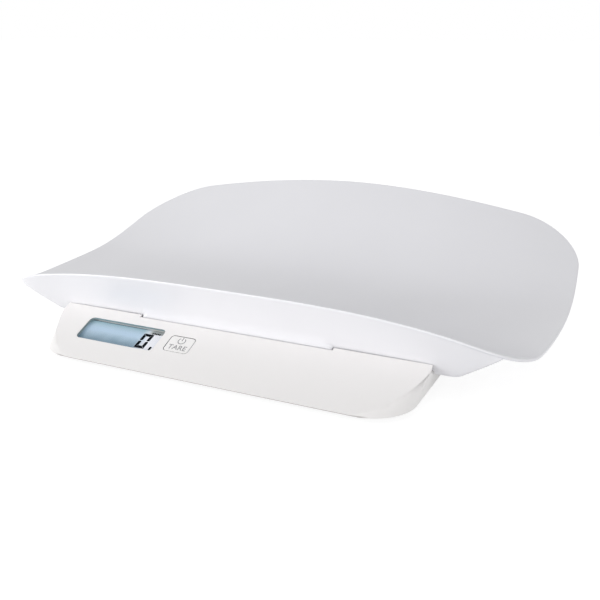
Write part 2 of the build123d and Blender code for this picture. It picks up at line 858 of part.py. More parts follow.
# ================================================================ feet and load cells
corner_names = {
    "front_left": cells_at[0],
    "rear_left": cells_at[1],
    "front_right": cells_at[2],
    "rear_right": cells_at[3],
}
cell_edge = 4.5
tongue_length = cell_size - cell_edge - 2 * cell_slot
for name, (x, y) in corner_names.items():
    with BuildPart() as load_cell:
        # square spring plate; a slot on three sides frees the tongue that the foot presses on
        with BuildSketch(Plane.XY.offset(cell_seat_z)):
            with Locations((x, y)):
                RectangleRounded(cell_size, cell_size, 3 * cell_slot / 2)
                Rectangle(
                    cell_size - 2 * cell_edge - 2 * ledge,
                    cell_size - 2 * (ledge + cell_slot / 2),
                    mode=Mode.SUBTRACT,
                )
                Rectangle(
                    cell_size - 2 * cell_edge - 2 * ledge - 2 * cell_slot,
                    cell_size - 2 * (ledge + cell_slot / 2) - 2 * cell_slot,
                )
            with Locations((x, y + cell_size / 2 - ledge - cell_slot)):
                Rectangle(cell_edge * 2, cell_slot * 2.5)
        extrude(amount=cell_thickness)
    load_cell.part.label = f"load_cell_{name}"
    export_step(load_cell.part, f"parts/load_cell_{name}.step")

    with BuildPart() as load_cell_clamp:
        with BuildSketch(Plane.XY.offset(clamp_seat_z)):
            with Locations((x, y)):
                RectangleRounded(cell_size, clamp_length, clamp_screw_inset)
                Rectangle(clamp_window, clamp_window, mode=Mode.SUBTRACT)
                with GridLocations(1, clamp_length - 2 * clamp_screw_inset, 1, 2):
                    Circle(small_screw_radius + 2 * screw_gap, mode=Mode.SUBTRACT)
        extrude(amount=clamp_thickness)
    load_cell_clamp.part.label = f"load_cell_clamp_{name}"
    export_step(load_cell_clamp.part, f"parts/load_cell_clamp_{name}.step")

    with BuildPart() as foot:
        with Locations((x, y, foot_rim_z)):
            Cylinder(foot_radius, foot_top_z - foot_rim_z, align=upward)
        chamfer(foot.edges().sort_by(Axis.Z)[0], length=foot_edge)
        with Locations((x, y, foot_rim_z)):
            Cylinder(
                foot_pad_radius + foot_pad_fit,
                foot_pad_height - foot_rim_z,
                align=upward,
                mode=Mode.SUBTRACT,
            )
        with Locations((x, y, foot_top_z)):
            Cylinder(foot_post_radius, cell_seat_z - foot_top_z, align=upward)
    foot.part.label = f"foot_{name}"
    export_step(foot.part, f"parts/foot_{name}.step")

    with BuildPart() as foot_pad:
        with Locations((x, y, 0)):
            Cylinder(foot_pad_radius, foot_pad_height, align=upward)
        chamfer(foot_pad.edges().sort_by(Axis.Z)[0], length=foot_pad_edge)
    foot_pad.part.label = f"foot_pad_{name}"
    export_step(foot_pad.part, f"parts/foot_pad_{name}.step")

with BuildPart() as strain_gauges:
    with Locations(*[(x, y, clamp_seat_z) for x, y in cells_at]):
        Box(gauge_width, gauge_length, gauge_thickness, align=upward)
strain_gauges.part.label = "strain_gauges"
export_step(strain_gauges.part, "parts/strain_gauges.step")

# ================================================================ screws
with BuildPart() as housing_screws:
    with Locations(*[(x, y, pan_underside_z + screw_gap) for x, y in housing_screws_at]):
        Cylinder(screw_head_radius, screw_head_height, align=upward)
        Cylinder(screw_radius, screw_length, align=upward)
housing_screws.part.label = "housing_screws"
export_step(housing_screws.part, "parts/housing_screws.step")

small_screw_length = 5.0
with BuildPart() as clamp_screws:
    with Locations(*[(x, y, clamp_seat_z + clamp_thickness) for x, y in clamp_screws_at]):
        Cylinder(small_head_radius, small_head_height, align=upward)
    with Locations(*[(x, y, clamp_seat_z + clamp_thickness) for x, y in clamp_screws_at]):
        Cylinder(small_screw_radius, small_screw_length, align=downward)
clamp_screws.part.label = "clamp_screws"
export_step(clamp_screws.part, "parts/clamp_screws.step")

with BuildPart() as board_screws:
    with BuildSketch(panel.offset(-board_back)):
        with Locations(*post_places):
            Circle(small_head_radius)
    extrude(amount=-small_head_height)
    with BuildSketch(panel.offset(-board_back)):
        with Locations(*post_places):
            Circle(small_screw_radius)
    extrude(amount=small_screw_length)
board_screws.part.label = "board_screws"
export_step(board_screws.part, "parts/board_screws.step")

# ================================================================ unit button
unit_posts = [(unit_x + side * unit_post_x, unit_y) for side in (-1, 1)]
with BuildPart() as unit_button:
    with Locations((unit_x, unit_y, pan_underside_z + unit_recess)):
        Cylinder(unit_button_radius, unit_flange_z - pan_underside_z - unit_recess, align=upward)
    chamfer(unit_button.edges().sort_by(Axis.Z)[0], length=unit_button_edge)
    with Locations((unit_x, unit_y, unit_flange_z)):
        Cylinder(unit_flange_radius, unit_flange_thickness, align=upward)
unit_button.part.label = "unit_button"
export_step(unit_button.part, "parts/unit_button.step")

unit_flange_top = unit_flange_z + unit_flange_thickness
with BuildPart() as unit_switch:
    with Locations((unit_x, unit_y, unit_switch_z)):
        Box(switch_size, switch_size, switch_height, align=upward)
        Cylinder(
            plunger_radius + plunger_gap,
            switch_height / 2 + plunger_gap,
            align=upward,
            mode=Mode.SUBTRACT,
        )
unit_switch.part.label = "unit_switch"
export_step(unit_switch.part, "parts/unit_switch.step")

with BuildPart() as unit_switch_plunger:
    with Locations((unit_x, unit_y, unit_flange_top)):
        Cylinder(
            plunger_radius,
            unit_switch_z + switch_height / 2 - key_travel - unit_flange_top,
            align=upward,
        )
unit_switch_plunger.part.label = "unit_switch_plunger"
export_step(unit_switch_plunger.part, "parts/unit_switch_plunger.step")

with BuildPart() as unit_board:
    with BuildSketch(Plane.XY.offset(unit_board_z)):
        with Locations((unit_x, unit_y)):
            RectangleRounded(unit_board_length, unit_board_width, board_corner)
        with Locations(*unit_posts):
            Circle(small_screw_radius + 2 * screw_gap, mode=Mode.SUBTRACT)
    extrude(amount=board_thickness)
unit_board.part.label = "unit_board"
export_step(unit_board.part, "parts/unit_board.step")

with BuildPart() as unit_screws:
    with Locations(*[(x, y, unit_board_z + board_thickness) for x, y in unit_posts]):
        Cylinder(small_head_radius, small_head_height, align=upward)
    with Locations(*[(x, y, unit_board_z + board_thickness) for x, y in unit_posts]):
        Cylinder(small_screw_radius, small_screw_length, align=downward)
unit_screws.part.label = "unit_screws"
export_step(unit_screws.part, "parts/unit_screws.step")

# ================================================================ cells, contacts and door
battery_x = [battery_pitch * (i - (battery_count - 1) / 2) for i in range(battery_count)]
box_middle_y = (box_front_y + box_rear_y) / 2
spring_length = box_length - contact_thickness - battery_nub - battery_length
with BuildPart() as battery_cells:
    # each cell points the other way from its neighbour
    for i, x in enumerate(battery_x):
        way = 1 if i % 2 == 0 else -1
        nub_end = box_middle_y - way * (box_length / 2 - contact_thickness)
        shoulder = nub_end + way * battery_nub
        with BuildSketch(Plane(origin=(x, nub_end, battery_z), z_dir=(0, way, 0))):
            Circle(battery_nub_radius)
        extrude(amount=battery_nub)
        with BuildSketch(Plane(origin=(x, shoulder, battery_z), z_dir=(0, way, 0))):
            Circle(battery_radius)
        extrude(amount=battery_length)
battery_cells.part.label = "battery_cells"
export_step(battery_cells.part, "parts/battery_cells.step")

tab_y = box_front_y - tab_length
with BuildPart() as battery_contacts:
    for i, x in enumerate(battery_x):
        way = 1 if i % 2 == 0 else -1
        wall_y = box_middle_y - way * box_length / 2
        with BuildSketch(Plane(origin=(x, wall_y, battery_z), z_dir=(0, way, 0))):
            Rectangle(contact_size, contact_size)
        extrude(amount=contact_thickness)
    # the first one reaches through the front wall of the box as a solder tab
    with Locations((battery_x[0], tab_y, battery_z)):
        Box(
            tab_width,
            tab_length + contact_thickness,
            contact_thickness,
            align=(Align.CENTER, Align.MIN, Align.CENTER),
        )
battery_contacts.part.label = "battery_contacts"
export_step(battery_contacts.part, "parts/battery_contacts.step")

with BuildPart() as battery_springs:
    # a folded leaf behind the flat end of each cell
    for i, x in enumerate(battery_x):
        way = 1 if i % 2 == 0 else -1
        wall_y = box_middle_y + way * box_length / 2
        reach = spring_length - contact_thickness / 2
        base_y = wall_y - way * contact_thickness / 2
        tip_y = wall_y - way * reach
        with BuildSketch(Plane(origin=(x - spring_width / 2, 0, 0), z_dir=(1, 0, 0), x_dir=(0, 1, 0))):
            with BuildLine():
                Polyline(
                    (base_y, battery_z - contact_size / 2),
                    (base_y, battery_z + contact_size / 2),
                    (tip_y, battery_z + 1.0),
                    (tip_y, battery_z - 1.0),
                    (base_y - way * contact_size / 4, battery_z - contact_size / 2 + 1.0),
                )
            trace(line_width=contact_thickness)
        extrude(amount=spring_width)
    # the last one, at the front, has the other solder tab
    with Locations((battery_x[-1], tab_y, battery_z)):
        Box(
            tab_width,
            tab_length + contact_thickness,
            contact_thickness,
            align=(Align.CENTER, Align.MIN, Align.CENTER),
        )
battery_springs.part.label = "battery_springs"
export_step(battery_springs.part, "parts/battery_springs.step")

with BuildPart() as battery_door:
    with Locations((0, box_front_y - door_overlap, pan_underside_z)):
        Box(2 * door_half, base_depth, door_thickness, align=on_floor)
    with Locations((0, box_front_y - door_overlap, door_tongue_z)):
        Box(2 * (door_half + door_tongue), base_depth, door_tongue_thickness, align=on_floor)
    add(pan_plate.part, mode=Mode.INTERSECT)
    # thumb grip: a row of shallow grooves across the outside
    grooves_y = [box_front_y + grip_from_box + grip_pitch * i for i in range(grip_count)]
    with Locations(*[(0, y, pan_underside_z) for y in grooves_y]):
        Box(grip_length, grip_groove, grip_depth, align=upward, mode=Mode.SUBTRACT)
battery_door.part.label = "battery_door"
export_step(battery_door.part, "parts/battery_door.step")

# ================================================================ internal leads
lead_radius = 0.8
lead_z = 9.9
cell_side_x = cell_x - cell_size / 2
arc_share = 0.45
cell_lead_y = 4.0
sensor_rear = cells_from_front[1] - 6.0


def lead_start(x):
    """Where a lead leaves its connector, and where it comes down to the pan."""
    start = panel.from_local_coords((x, connector_v, -board_back - connector_height))
    down = (start.Z - lead_z) / panel.z_dir.Z
    return start, start - panel.z_dir * down


def lead_path(points):
    """Straight runs joined by arcs as large as the shorter of the two runs allows."""
    radii = []
    for before, corner, after in zip(points, points[1:], points[2:]):
        run_in, run_out = corner - before, after - corner
        turn = radians(run_in.get_angle(run_out))
        radii.append(arc_share * min(run_in.length, run_out.length) / tan(turn / 2))
    with BuildLine() as path:
        FilletPolyline(*points, radius=radii)
    return path.line, radii


def route(x, *stops):
    """Route from a connector through stops given as x, distance from the front, height."""
    start, landing = lead_start(x)
    points = [start, landing]
    points += [Vector(sx, console_front_y + sy, sz) for sx, sy, sz in stops]
    return points


tab_front = tab_y - console_front_y
tab_x = battery_x[-1]
left_x = lead_x["rear_left"]
right_x = lead_x["rear_right"]
front_x = lead_x["front_right"]
sensor_front = cells_from_front[0] + cell_lead_y
sensor_routes = [
    route(
        lead_x["front_left"],
        (lead_x["front_left"], sensor_front, lead_z),
        (-cell_side_x, sensor_front, lead_z),
    ),
    route(
        left_x,
        (left_x, 92, lead_z),
        (left_x + 4, 140, lead_z),
        (left_x + 2, sensor_rear - 60, lead_z),
        (left_x - 6, sensor_rear - 24, lead_z),
        (-cell_side_x + 19, sensor_rear, lead_z),
        (-cell_side_x, sensor_rear, lead_z),
    ),
    route(
        right_x,
        (right_x + 3, 92, lead_z),
        (right_x + 25, 120, lead_z),
        (cell_side_x * 0.1, 142, lead_z),
        (cell_side_x * 0.36, 164, lead_z),
        (cell_side_x * 0.62, 192, lead_z),
        (cell_side_x - 31, sensor_rear - 24, lead_z),
        (cell_side_x - 21, sensor_rear, lead_z),
        (cell_side_x, sensor_rear, lead_z),
    ),
    route(
        front_x,
        (front_x + 6, 84, lead_z),
        (cell_side_x * 0.03, 96, lead_z),
        (cell_side_x * 0.35, 98, lead_z),
        (cell_side_x * 0.66, 88, lead_z),
        (cell_side_x - 21, sensor_front, lead_z),
        (cell_side_x, sensor_front, lead_z),
    ),
]
battery_x_start = lead_x["battery"]
battery_routes = [
    route(
        battery_x_start - 1.5,
        (battery_x_start + 2.5, 92, lead_z),
        (battery_x_start + 17, 122, lead_z),
        (battery_x_start * 0.61, 142, lead_z),
        (battery_x_start * 0.45, 166, lead_z),
        (-tab_x - 11, tab_front - 36, lead_z),
        (-tab_x, tab_front - 16, battery_z),
        (-tab_x, tab_front, battery_z),
    ),
    route(
        battery_x_start + 1.5,
        (battery_x_start + 6.5, 90, lead_z),
        (battery_x_start + 22, 118, lead_z),
        (battery_x_start * 0.54, 138, lead_z),
        (battery_x_start * 0.31, 160, lead_z),
        (tab_x - 20, tab_front - 44, lead_z),
        (tab_x, tab_front - 18, battery_z),
        (tab_x, tab_front, battery_z),
    ),
]
unit_lead_z = unit_board_z + board_thickness / 2
unit_front = unit_from_front - unit_board_width / 2
unit_routes = [
    route(
        lead_x["unit"],
        (lead_x["unit"] + 2, 92, lead_z),
        (lead_x["unit"] + 14, 122, lead_z),
        (unit_x, 148, unit_lead_z),
        (unit_x, unit_front, unit_lead_z),
    )
]

for name, routes in (
    ("sensor_leads", sensor_routes),
    ("battery_leads", battery_routes),
    ("unit_lead", unit_routes),
):
    with BuildPart() as leads:
        for points in routes:
            path, radii = lead_path(points)
            print(name, "radii", [round(radius, 1) for radius in radii])
            with BuildSketch(Plane(origin=points[0], z_dir=points[1] - points[0])):
                Circle(lead_radius)
            sweep(path=path)
    leads.part.label = name
    export_step(leads.part, f"parts/{name}.step")
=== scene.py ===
# %% [markdown]
# # A digital baby weighing scale
#
# This file dresses a finished construction model of a baby scale: a long curved tray that lies
# loose on a low base, and a sloping console in front with a display and one key. The
# construction model already holds every screw and switch. Here each piece gets its finish, and
# the few pieces whose beauty is in a smooth curve are made again as finer surfaces. Lengths are
# written in millimetres and turned into metres when a mesh is made.

import json
import math

import bmesh
import bpy
import numpy as np
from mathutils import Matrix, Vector


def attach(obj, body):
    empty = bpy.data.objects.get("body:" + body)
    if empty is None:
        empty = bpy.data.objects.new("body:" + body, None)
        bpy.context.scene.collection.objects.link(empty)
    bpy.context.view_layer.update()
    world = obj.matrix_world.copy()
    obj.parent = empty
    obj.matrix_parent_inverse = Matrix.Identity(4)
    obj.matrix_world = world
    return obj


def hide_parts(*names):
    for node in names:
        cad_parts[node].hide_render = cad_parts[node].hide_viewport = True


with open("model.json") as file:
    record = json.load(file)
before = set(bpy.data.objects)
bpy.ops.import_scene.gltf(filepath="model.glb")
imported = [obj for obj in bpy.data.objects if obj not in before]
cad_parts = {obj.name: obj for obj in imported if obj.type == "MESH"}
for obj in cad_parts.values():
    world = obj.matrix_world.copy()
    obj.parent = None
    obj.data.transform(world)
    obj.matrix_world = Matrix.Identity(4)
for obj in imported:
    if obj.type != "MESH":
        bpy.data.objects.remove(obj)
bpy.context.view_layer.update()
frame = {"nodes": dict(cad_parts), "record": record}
record = frame["record"]
nodes = frame["nodes"]
MM = 0.001


def add_object(name, data):
    """Object in the scene around a mesh, a camera, a lamp or a curve."""
    piece = bpy.data.objects.new(name, data)
    bpy.context.collection.objects.link(piece)
    return piece


# %% [markdown]
# ## The camera
#
# The camera stands in front of the scale, well to its right and a little above. A long lens
# would flatten the tray; a 48 mm lens on a 36 mm sensor keeps the far end of the tray clearly
# smaller than the near one. Only the place and the direction of view are set, and the turn is
# worked out from the direction, so the horizon stays level.

# %% Camera
camera_place = Vector((349.1, -710.4, 290.8)) * MM
look_along = Vector((-0.4062, 0.8580, -0.3144))
camera_data = bpy.data.cameras.new("camera")
camera_data.lens = 48.0
camera_data.sensor_width = 36.0
camera_data.clip_start = 0.01
camera_data.clip_end = 100.0
camera = add_object("camera", camera_data)
camera.location = camera_place
camera.rotation_euler = look_along.to_track_quat("-Z", "Y").to_euler()
bpy.context.scene.camera = camera
print("camera stands", round((camera_place.xy).length, 3), "m from the middle of the scale")

# %% [markdown]
# ## From arrays to a mesh
#
# Nearly every new surface below is a grid of points worked out with numpy. One helper turns such
# grids into a mesh object at the origin. A grid may close on itself along either direction, and
# `ring_cap` closes its first or last row with a single point in the middle of that row.

# %% Mesh helpers
def grid_faces(rows, columns, wrap_rows=False, wrap_columns=False):
    """Four-cornered faces of a grid whose points are numbered row by row."""
    i = np.arange(rows if wrap_rows else rows - 1)
    j = np.arange(columns if wrap_columns else columns - 1)
    i, j = np.meshgrid(i, j, indexing="ij")
    i, j = i.ravel(), j.ravel()
    up, right = (i + 1) % rows, (j + 1) % columns
    here, above = i * columns, up * columns
    return np.stack([here + j, here + right, above + right, above + j], 1)


def smooth_object(name, mesh, sharp_angle):
    """Object around a mesh that is shaded smooth up to an angle."""
    mesh.shade_smooth()
    mesh.set_sharp_from_angle(angle=math.radians(sharp_angle))
    return add_object(name, mesh)


def make_object(name, parts, sharp_angle=35.0):
    """One mesh object from several (points in mm, faces) pairs."""
    points, faces, offset = [], [], 0
    for part_points, part_faces in parts:
        points.append(np.asarray(part_points, float).reshape(-1, 3))
        faces += [[corner + offset for corner in face] for face in part_faces]
        offset += len(points[-1])
    mesh = bpy.data.meshes.new(name)
    mesh.from_pydata((np.concatenate(points) * MM).tolist(), [], faces)
    mesh.validate()
    return smooth_object(name, mesh, sharp_angle)


def ring_cap(row, count, pole, facing_up):
    """Triangles that close row number `row` of a ring grid with the extra point `pole`."""
    j = np.arange(count)
    here, there = row * count + j, row * count + (j + 1) % count
    middle = np.full(count, pole)
    return np.stack([here, there, middle] if facing_up else [there, here, middle], 1)


# %% [markdown]
# ## The tray
#
# The tray is one moulding, and its whole character is the lying surface: a flat well in the
# middle, a lip that curls up in front, a high back, and ends that lift slightly and stay open.
# A mesh modelled by hand would show dents in the soft light, so the height is a formula. Each
# bend is a *ramp*: nothing before the bend, a straight slope after it, and in between a
# hyperbola whose softness is the size of the rounding.

# %% Sizes of the tray
tray_length = 550.0
tray_front, tray_back = -135.4, 181.0
widest_y = tray_back - 154.6
side_bow = 920.0
front_corner, rear_corner = 61.0, 72.0
skin = 3.0
floor_height = 32.6
end_rise = 11.4
well_y = tray_front + 119.4
front_bend, front_softness = tray_front + 52.2, 24.4
back_bend, back_softness = tray_back - 128.4, 41.8
front_slopes = (0.93, 0.16)
back_slopes = (0.744, 0.369)


def ramp(distance, softness):
    """Half of (root of distance squared plus softness squared, plus distance)."""
    return (np.sqrt(distance**2 + softness**2) + distance) / 2


def lying_height(x, y):
    """Floor, plus the cube of the way to the end, plus a sloping ramp in front and behind."""
    along = np.abs(x) / (tray_length / 2)
    front_slope = front_slopes[0] - (front_slopes[0] - front_slopes[1]) * along**3
    back_slope = back_slopes[0] - (back_slopes[0] - back_slopes[1]) * along**2
    front = ramp(front_bend - y, front_softness) - ramp(front_bend - well_y, front_softness)
    back = ramp(y - back_bend, back_softness) - ramp(well_y - back_bend, back_softness)
    return floor_height + end_rise * along**3 + front_slope * front + back_slope * back


def upright_skin(x, y, step=0.05):
    """Thickness of the skin measured straight down: the skin times the slope's secant."""
    along_x = (lying_height(x + step, y) - lying_height(x - step, y)) / (2 * step)
    along_y = (lying_height(x, y + step) - lying_height(x, y - step)) / (2 * step)
    return skin * np.sqrt(1 + along_x**2 + along_y**2)


# %% [markdown]
# ### The outline seen from above
#
# Front and back edges are straight, the two sides bow outwards on a very large circle, and the
# four corners are arcs that run into both without a kink. The outline is sampled piece by
# piece at an even spacing, and each point also gets the direction that points away from the
# tray, because the rounded rim is built along it.

# %% Outline of the tray
def corner_circle(edge_y, radius):
    """Centre of a corner arc, and the angle at which it runs into the bowed side."""
    centre_y = edge_y + radius if edge_y < widest_y else edge_y - radius
    side_x = tray_length / 2 - side_bow
    centre_x = side_x + math.sqrt((side_bow - radius) ** 2 - (centre_y - widest_y) ** 2)
    return centre_x, centre_y, math.atan2(centre_y - widest_y, centre_x - side_x)


def tray_outline(spacing):
    """Points and outward directions, anticlockwise from the middle of the front edge."""
    pieces = []

    def arc(centre_x, centre_y, radius, start, end):
        count = max(int(abs(end - start) * radius / spacing), 2)
        turn = start + (end - start) * np.arange(count) / count
        out = np.stack([np.cos(turn), np.sin(turn)], 1)
        pieces.append((np.array([centre_x, centre_y]) + radius * out, out))

    def line(x0, x1, y, out_y):
        count = int(abs(x1 - x0) / spacing)
        x = x0 + (x1 - x0) * np.arange(count) / count
        out = np.tile([0.0, out_y], (count, 1))
        pieces.append((np.stack([x, np.full(count, y)], 1), out))

    fx, fy, f_turn = corner_circle(tray_front, front_corner)
    rx, ry, r_turn = corner_circle(tray_back, rear_corner)
    quarter = math.pi / 2
    side_x = tray_length / 2 - side_bow
    line(0, fx, tray_front, -1)
    arc(fx, fy, front_corner, -quarter, f_turn)
    arc(side_x, widest_y, side_bow, f_turn, r_turn)
    arc(rx, ry, rear_corner, r_turn, quarter)
    line(rx, 0, tray_back, 1)
    right = [np.concatenate(part) for part in zip(*pieces)]
    left = [np.flip(part, 0) * [-1, 1] for part in right]
    # the middle of the front and of the back belong to both halves
    middle = (np.array([[0, tray_back]]), np.array([[0.0, 1.0]]))
    return [np.concatenate([r, m, l[:-1]]) for r, m, l in zip(right, middle, left)]


outline, outward = tray_outline(spacing=3.2)
print("points round the tray's outline:", len(outline))

# %% [markdown]
# ### The skin
#
# Rings of points run from the middle of the well out to the rim, over the rim on half an
# ellipse, and back along the underside. They close at two poles in the middle of the flat well,
# where nothing curves, so the poles never show.

# %% Skin of the tray
def tray_skin(rings=58, rim_steps=10, crowding=0.9, step=0.1):
    """Closed shell: rings over the top, half an ellipse round the rim, rings underneath.

    Ring k lies at a share of the way from the middle to the edge. The share is a power of a
    sine, so the rings crowd together at the rim. The ellipse leans with the surface."""
    half_rim = skin / 2
    middle = np.array([0.0, well_y])
    edge = outline - half_rim * outward
    share = np.sin(np.linspace(0, math.pi / 2, rings + 1)[1:]) ** crowding
    flat = middle + share[:, None, None] * (edge - middle)
    x, y = flat[..., 0], flat[..., 1]
    height = lying_height(x, y)
    top = np.stack([x, y, height], 2)
    under = np.stack([x, y, height - upright_skin(x, y)], 2)[::-1]
    ahead, behind = (lying_height(*(edge + way * outward).T) for way in (step, -step))
    reach = half_rim * np.column_stack([outward, (ahead - behind) / (2 * step)])
    half_chord = (top[-1] - under[0]) / 2
    turn = np.linspace(math.pi / 2, -math.pi / 2, rim_steps + 1)[1:-1, None, None]
    rim = (top[-1] + under[0]) / 2 + np.sin(turn) * half_chord + np.cos(turn) * reach
    grid = np.concatenate([top, rim, under])
    rows, columns = grid.shape[:2]
    pole_height = lying_height(*middle)
    poles = [[*middle, pole_height], [*middle, pole_height - upright_skin(*middle)]]
    faces = grid_faces(rows, columns, wrap_columns=True)[:, ::-1].tolist()
    faces += ring_cap(0, columns, rows * columns, facing_up=True).tolist()
    faces += ring_cap(rows - 1, columns, rows * columns + 1, facing_up=False).tolist()
    return np.concatenate([grid.reshape(-1, 3), poles]), faces


skin_part = tray_skin()
print("skin of the tray:", len(skin_part[0]), "points")

# %% [markdown]
# ### The walls under the skin
#
# Under the skin hangs a hollow hull: a fascia that leans back from the front lip, flanks that
# rise outwards at 37 degrees, and an upright rear wall. All of it is one closed ring of
# columns. Every column starts on the hull's lower edge and climbs until it is inside the skin;
# the meeting height has no formula, so it is found for all columns at once by halving an
# interval forty times.

# %% Sizes of the hull
deck_z = 27.0
skirt_z = 24.0
notch_foot_z = 27.6
notch_half = 188.8
tongue_half, tongue_y, tongue_fade = 99.8, -119.4, (1.5, 9.0)
tongue_foot_z, tongue_foot, tongue_turn = 34.1, 0.9, 0.94
tongue_crease, tongue_fade_z = 1.6, (33.5, 37.0)
past_tongue, shoulder_edge, shoulder_x, notch_step = 2.5, 187.5, 190.0, 0.02
fascia_foot_y = tray_front + 23.0
hull_wall = 2.6
rim_in, rim_drop, rim_hold = 0.46, 3.95, 0.75
hull_half, hull_end = 210.0, 248.0
hull_rear_y = 118.5
flank_angle = math.radians(37.0)
flank_foot, hull_top_z = 9.0, 170.0
hull_corner = 5.0


def flank_profile(inset):
    """Points of the hull's right end seen from the front: rounded foot, slope, upright."""
    rise = math.tan(flank_angle)
    if inset:
        low = hull_half - inset / math.sin(flank_angle)
        bend = [(low, skirt_z)]
    else:
        turn = np.linspace(0, flank_angle, 14)
        low = hull_half - flank_foot * math.tan(flank_angle / 2)
        x, z = low + flank_foot * np.sin(turn), skirt_z + flank_foot * (1 - np.cos(turn))
        bend = list(zip(x, z))
    end = hull_end - inset
    end_z = bend[-1][1] + (end - bend[-1][0]) * rise
    points = np.array(bend + [(end, end_z), (end, hull_top_z)])
    way = np.concatenate([[0], np.cumsum(np.hypot(*np.diff(points, axis=0).T))])
    return way, points[:, 0], points[:, 1]


def leaning_y(x, z, inset):
    """Straight lean from the lower half of the rim down to the foot, one inset further in.

    It starts where the rim's ellipse is as steep as the lean, so the rim rolls into it. Past a
    share of the corner's radius the lip is held, so the lean runs straight on."""
    fx, fy, _ = corner_circle(tray_front, front_corner)
    held = np.minimum(np.abs(x), fx + rim_hold * front_corner)
    lip = fy - np.sqrt(front_corner**2 - np.maximum(held - fx, 0) ** 2)
    start_y, start_z = lip + rim_in, lying_height(held, lip) - rim_drop
    lean = (fascia_foot_y - start_y) / (start_z - deck_z)
    return start_y + lean * (start_z - z) + inset * np.sqrt(1 + lean**2)


def fascia_y(x, z, inset):
    """Front face of the hull: the leaning face, held forward by the tongue's upright one.

    The two are joined with the same ramp as the bends of the lying surface, so the crease
    between them is soft. The foot of the tongue turns under as a piece of a circle. At its
    ends the tongue fades back into the leaning face as the square of a cosine, over a short
    way at the foot and a longer one higher up."""
    leaning = leaning_y(x, z, inset)
    drop = np.clip(tongue_foot_z - z, 0, tongue_turn * tongue_foot)
    upright = tongue_y + inset + tongue_foot - np.sqrt(tongue_foot**2 - drop**2)
    tongue = np.minimum(upright - ramp(upright - leaning, tongue_crease), leaning)
    fade = np.interp(z, tongue_fade_z, tongue_fade)
    share = np.clip((np.abs(x) - tongue_half) / fade + 1, 0, 1)
    return leaning + (tongue - leaning) * np.cos(math.pi / 2 * share) ** 2


# %% Columns round the hull
front_x = np.concatenate(
    [
        np.linspace(0, tongue_half - tongue_fade[1], 26),
        tongue_half - tongue_fade[1] * np.linspace(1, 0, 19)[1:] ** 1.5,
        np.linspace(tongue_half + past_tongue, shoulder_edge, 24),
        [notch_half - notch_step, notch_half + notch_step, shoulder_x],
    ]
)
stretch = np.linspace(0, 1, 9)[1:]
corner_turn = np.linspace(0, math.pi / 2, 9)[1:]
wall_share = np.linspace(0, 1, 40)[1:]
# front, its outer end, corner, side, corner, rear
stations = (front_x, stretch, corner_turn, wall_share, corner_turn, wall_share)
column_ends = np.cumsum([len(station) for station in stations])
column_count = column_ends[-1]


def hull_right(way, inset):
    """Right half of the hull at one distance `way` up the flank for each column."""
    lengths, profile_x, profile_z = flank_profile(inset)
    end_x = np.interp(way, lengths, profile_x)
    z = np.interp(way, lengths, profile_z)
    radius = max(hull_corner - inset, 1.0)
    rear_y = hull_rear_y - inset
    columns = np.split(np.arange(column_count), column_ends[:-1])
    front, outer, corner, side, back_corner, rear = columns
    centre_x, centre_y = end_x - radius, fascia_y(end_x - radius, z, inset) + radius
    x, y = np.empty(column_count), np.empty(column_count)
    x[front] = front_x
    x[outer] = shoulder_x + stretch * (end_x[outer] - radius - shoulder_x)
    for part in (front, outer):
        y[part] = fascia_y(x[part], z[part], inset)
    x[corner] = centre_x[corner] + radius * np.sin(corner_turn)
    y[corner] = centre_y[corner] - radius * np.cos(corner_turn)
    x[side] = end_x[side]
    y[side] = centre_y[side] + wall_share * (rear_y - radius - centre_y[side])
    x[back_corner] = centre_x[back_corner] + radius * np.cos(corner_turn)
    y[back_corner] = rear_y - radius + radius * np.sin(corner_turn)
    x[rear] = centre_x[rear] * (1 - wall_share)
    y[rear] = rear_y
    return np.stack([x, y, z], -1)


def in_skin(x, y, share=0.5):
    """Height at a share of the way down through the skin."""
    return lying_height(x, y) - share * upright_skin(x, y)


def hull_wall_grid(inset, rows, sunk=0.86, halvings=40):
    """Rows from the hull's foot up to a share `sunk` of the skin's depth, right half only."""
    lengths, _, profile_z = flank_profile(inset)
    foot_z = np.full(column_count, skirt_z)
    foot_z[: len(front_x)][front_x < notch_half] = notch_foot_z
    low = np.interp(foot_z, profile_z, lengths)
    high = np.full(column_count, lengths[-1])
    start = low.copy()
    for _ in range(halvings):
        half = (low + high) / 2
        x, y, z = hull_right(half, inset).T
        above = z > in_skin(x, y, sunk)
        high = np.where(above, half, high)
        low = np.where(above, low, half)
    share = np.linspace(0, 1, rows)
    return np.stack([hull_right(start + s * (high - start), inset) for s in share])


def hull(rows=44):
    """Closed ring: the outer wall upwards, then the inner wall downwards, mirrored to the left."""
    right = np.concatenate([hull_wall_grid(0.0, rows), hull_wall_grid(hull_wall, rows)[::-1]])
    left = right[:, -2:0:-1] * [-1, 1, 1]
    grid = np.concatenate([right, left], 1)
    return grid, grid_faces(*grid.shape[:2], wrap_rows=True, wrap_columns=True)


hull_part = hull()
print("hull of the tray:", hull_part[0].shape[:2], "points")

# %% [markdown]
# ### Ribs and bosses
#
# The mould maker stiffens a skin this thin with a grid of ribs, and puts a round boss where
# each rubber pad is glued in. A rib is a rectangle carried along a line, with its top on the
# middle of the skin and its foot a little above the pads' faces.

# %% Ribs and bosses
pad_x, pad_rows = 125.0, (-71.4, 59.0)
rib_thickness, rib_foot_z, pad_top_z = 2.0, 28.7, 28.5
rib_end, rib_front_y, rib_least = 228.0, -131.0, 0.2
flank_start, wall_top_z = 208.0, 90.0


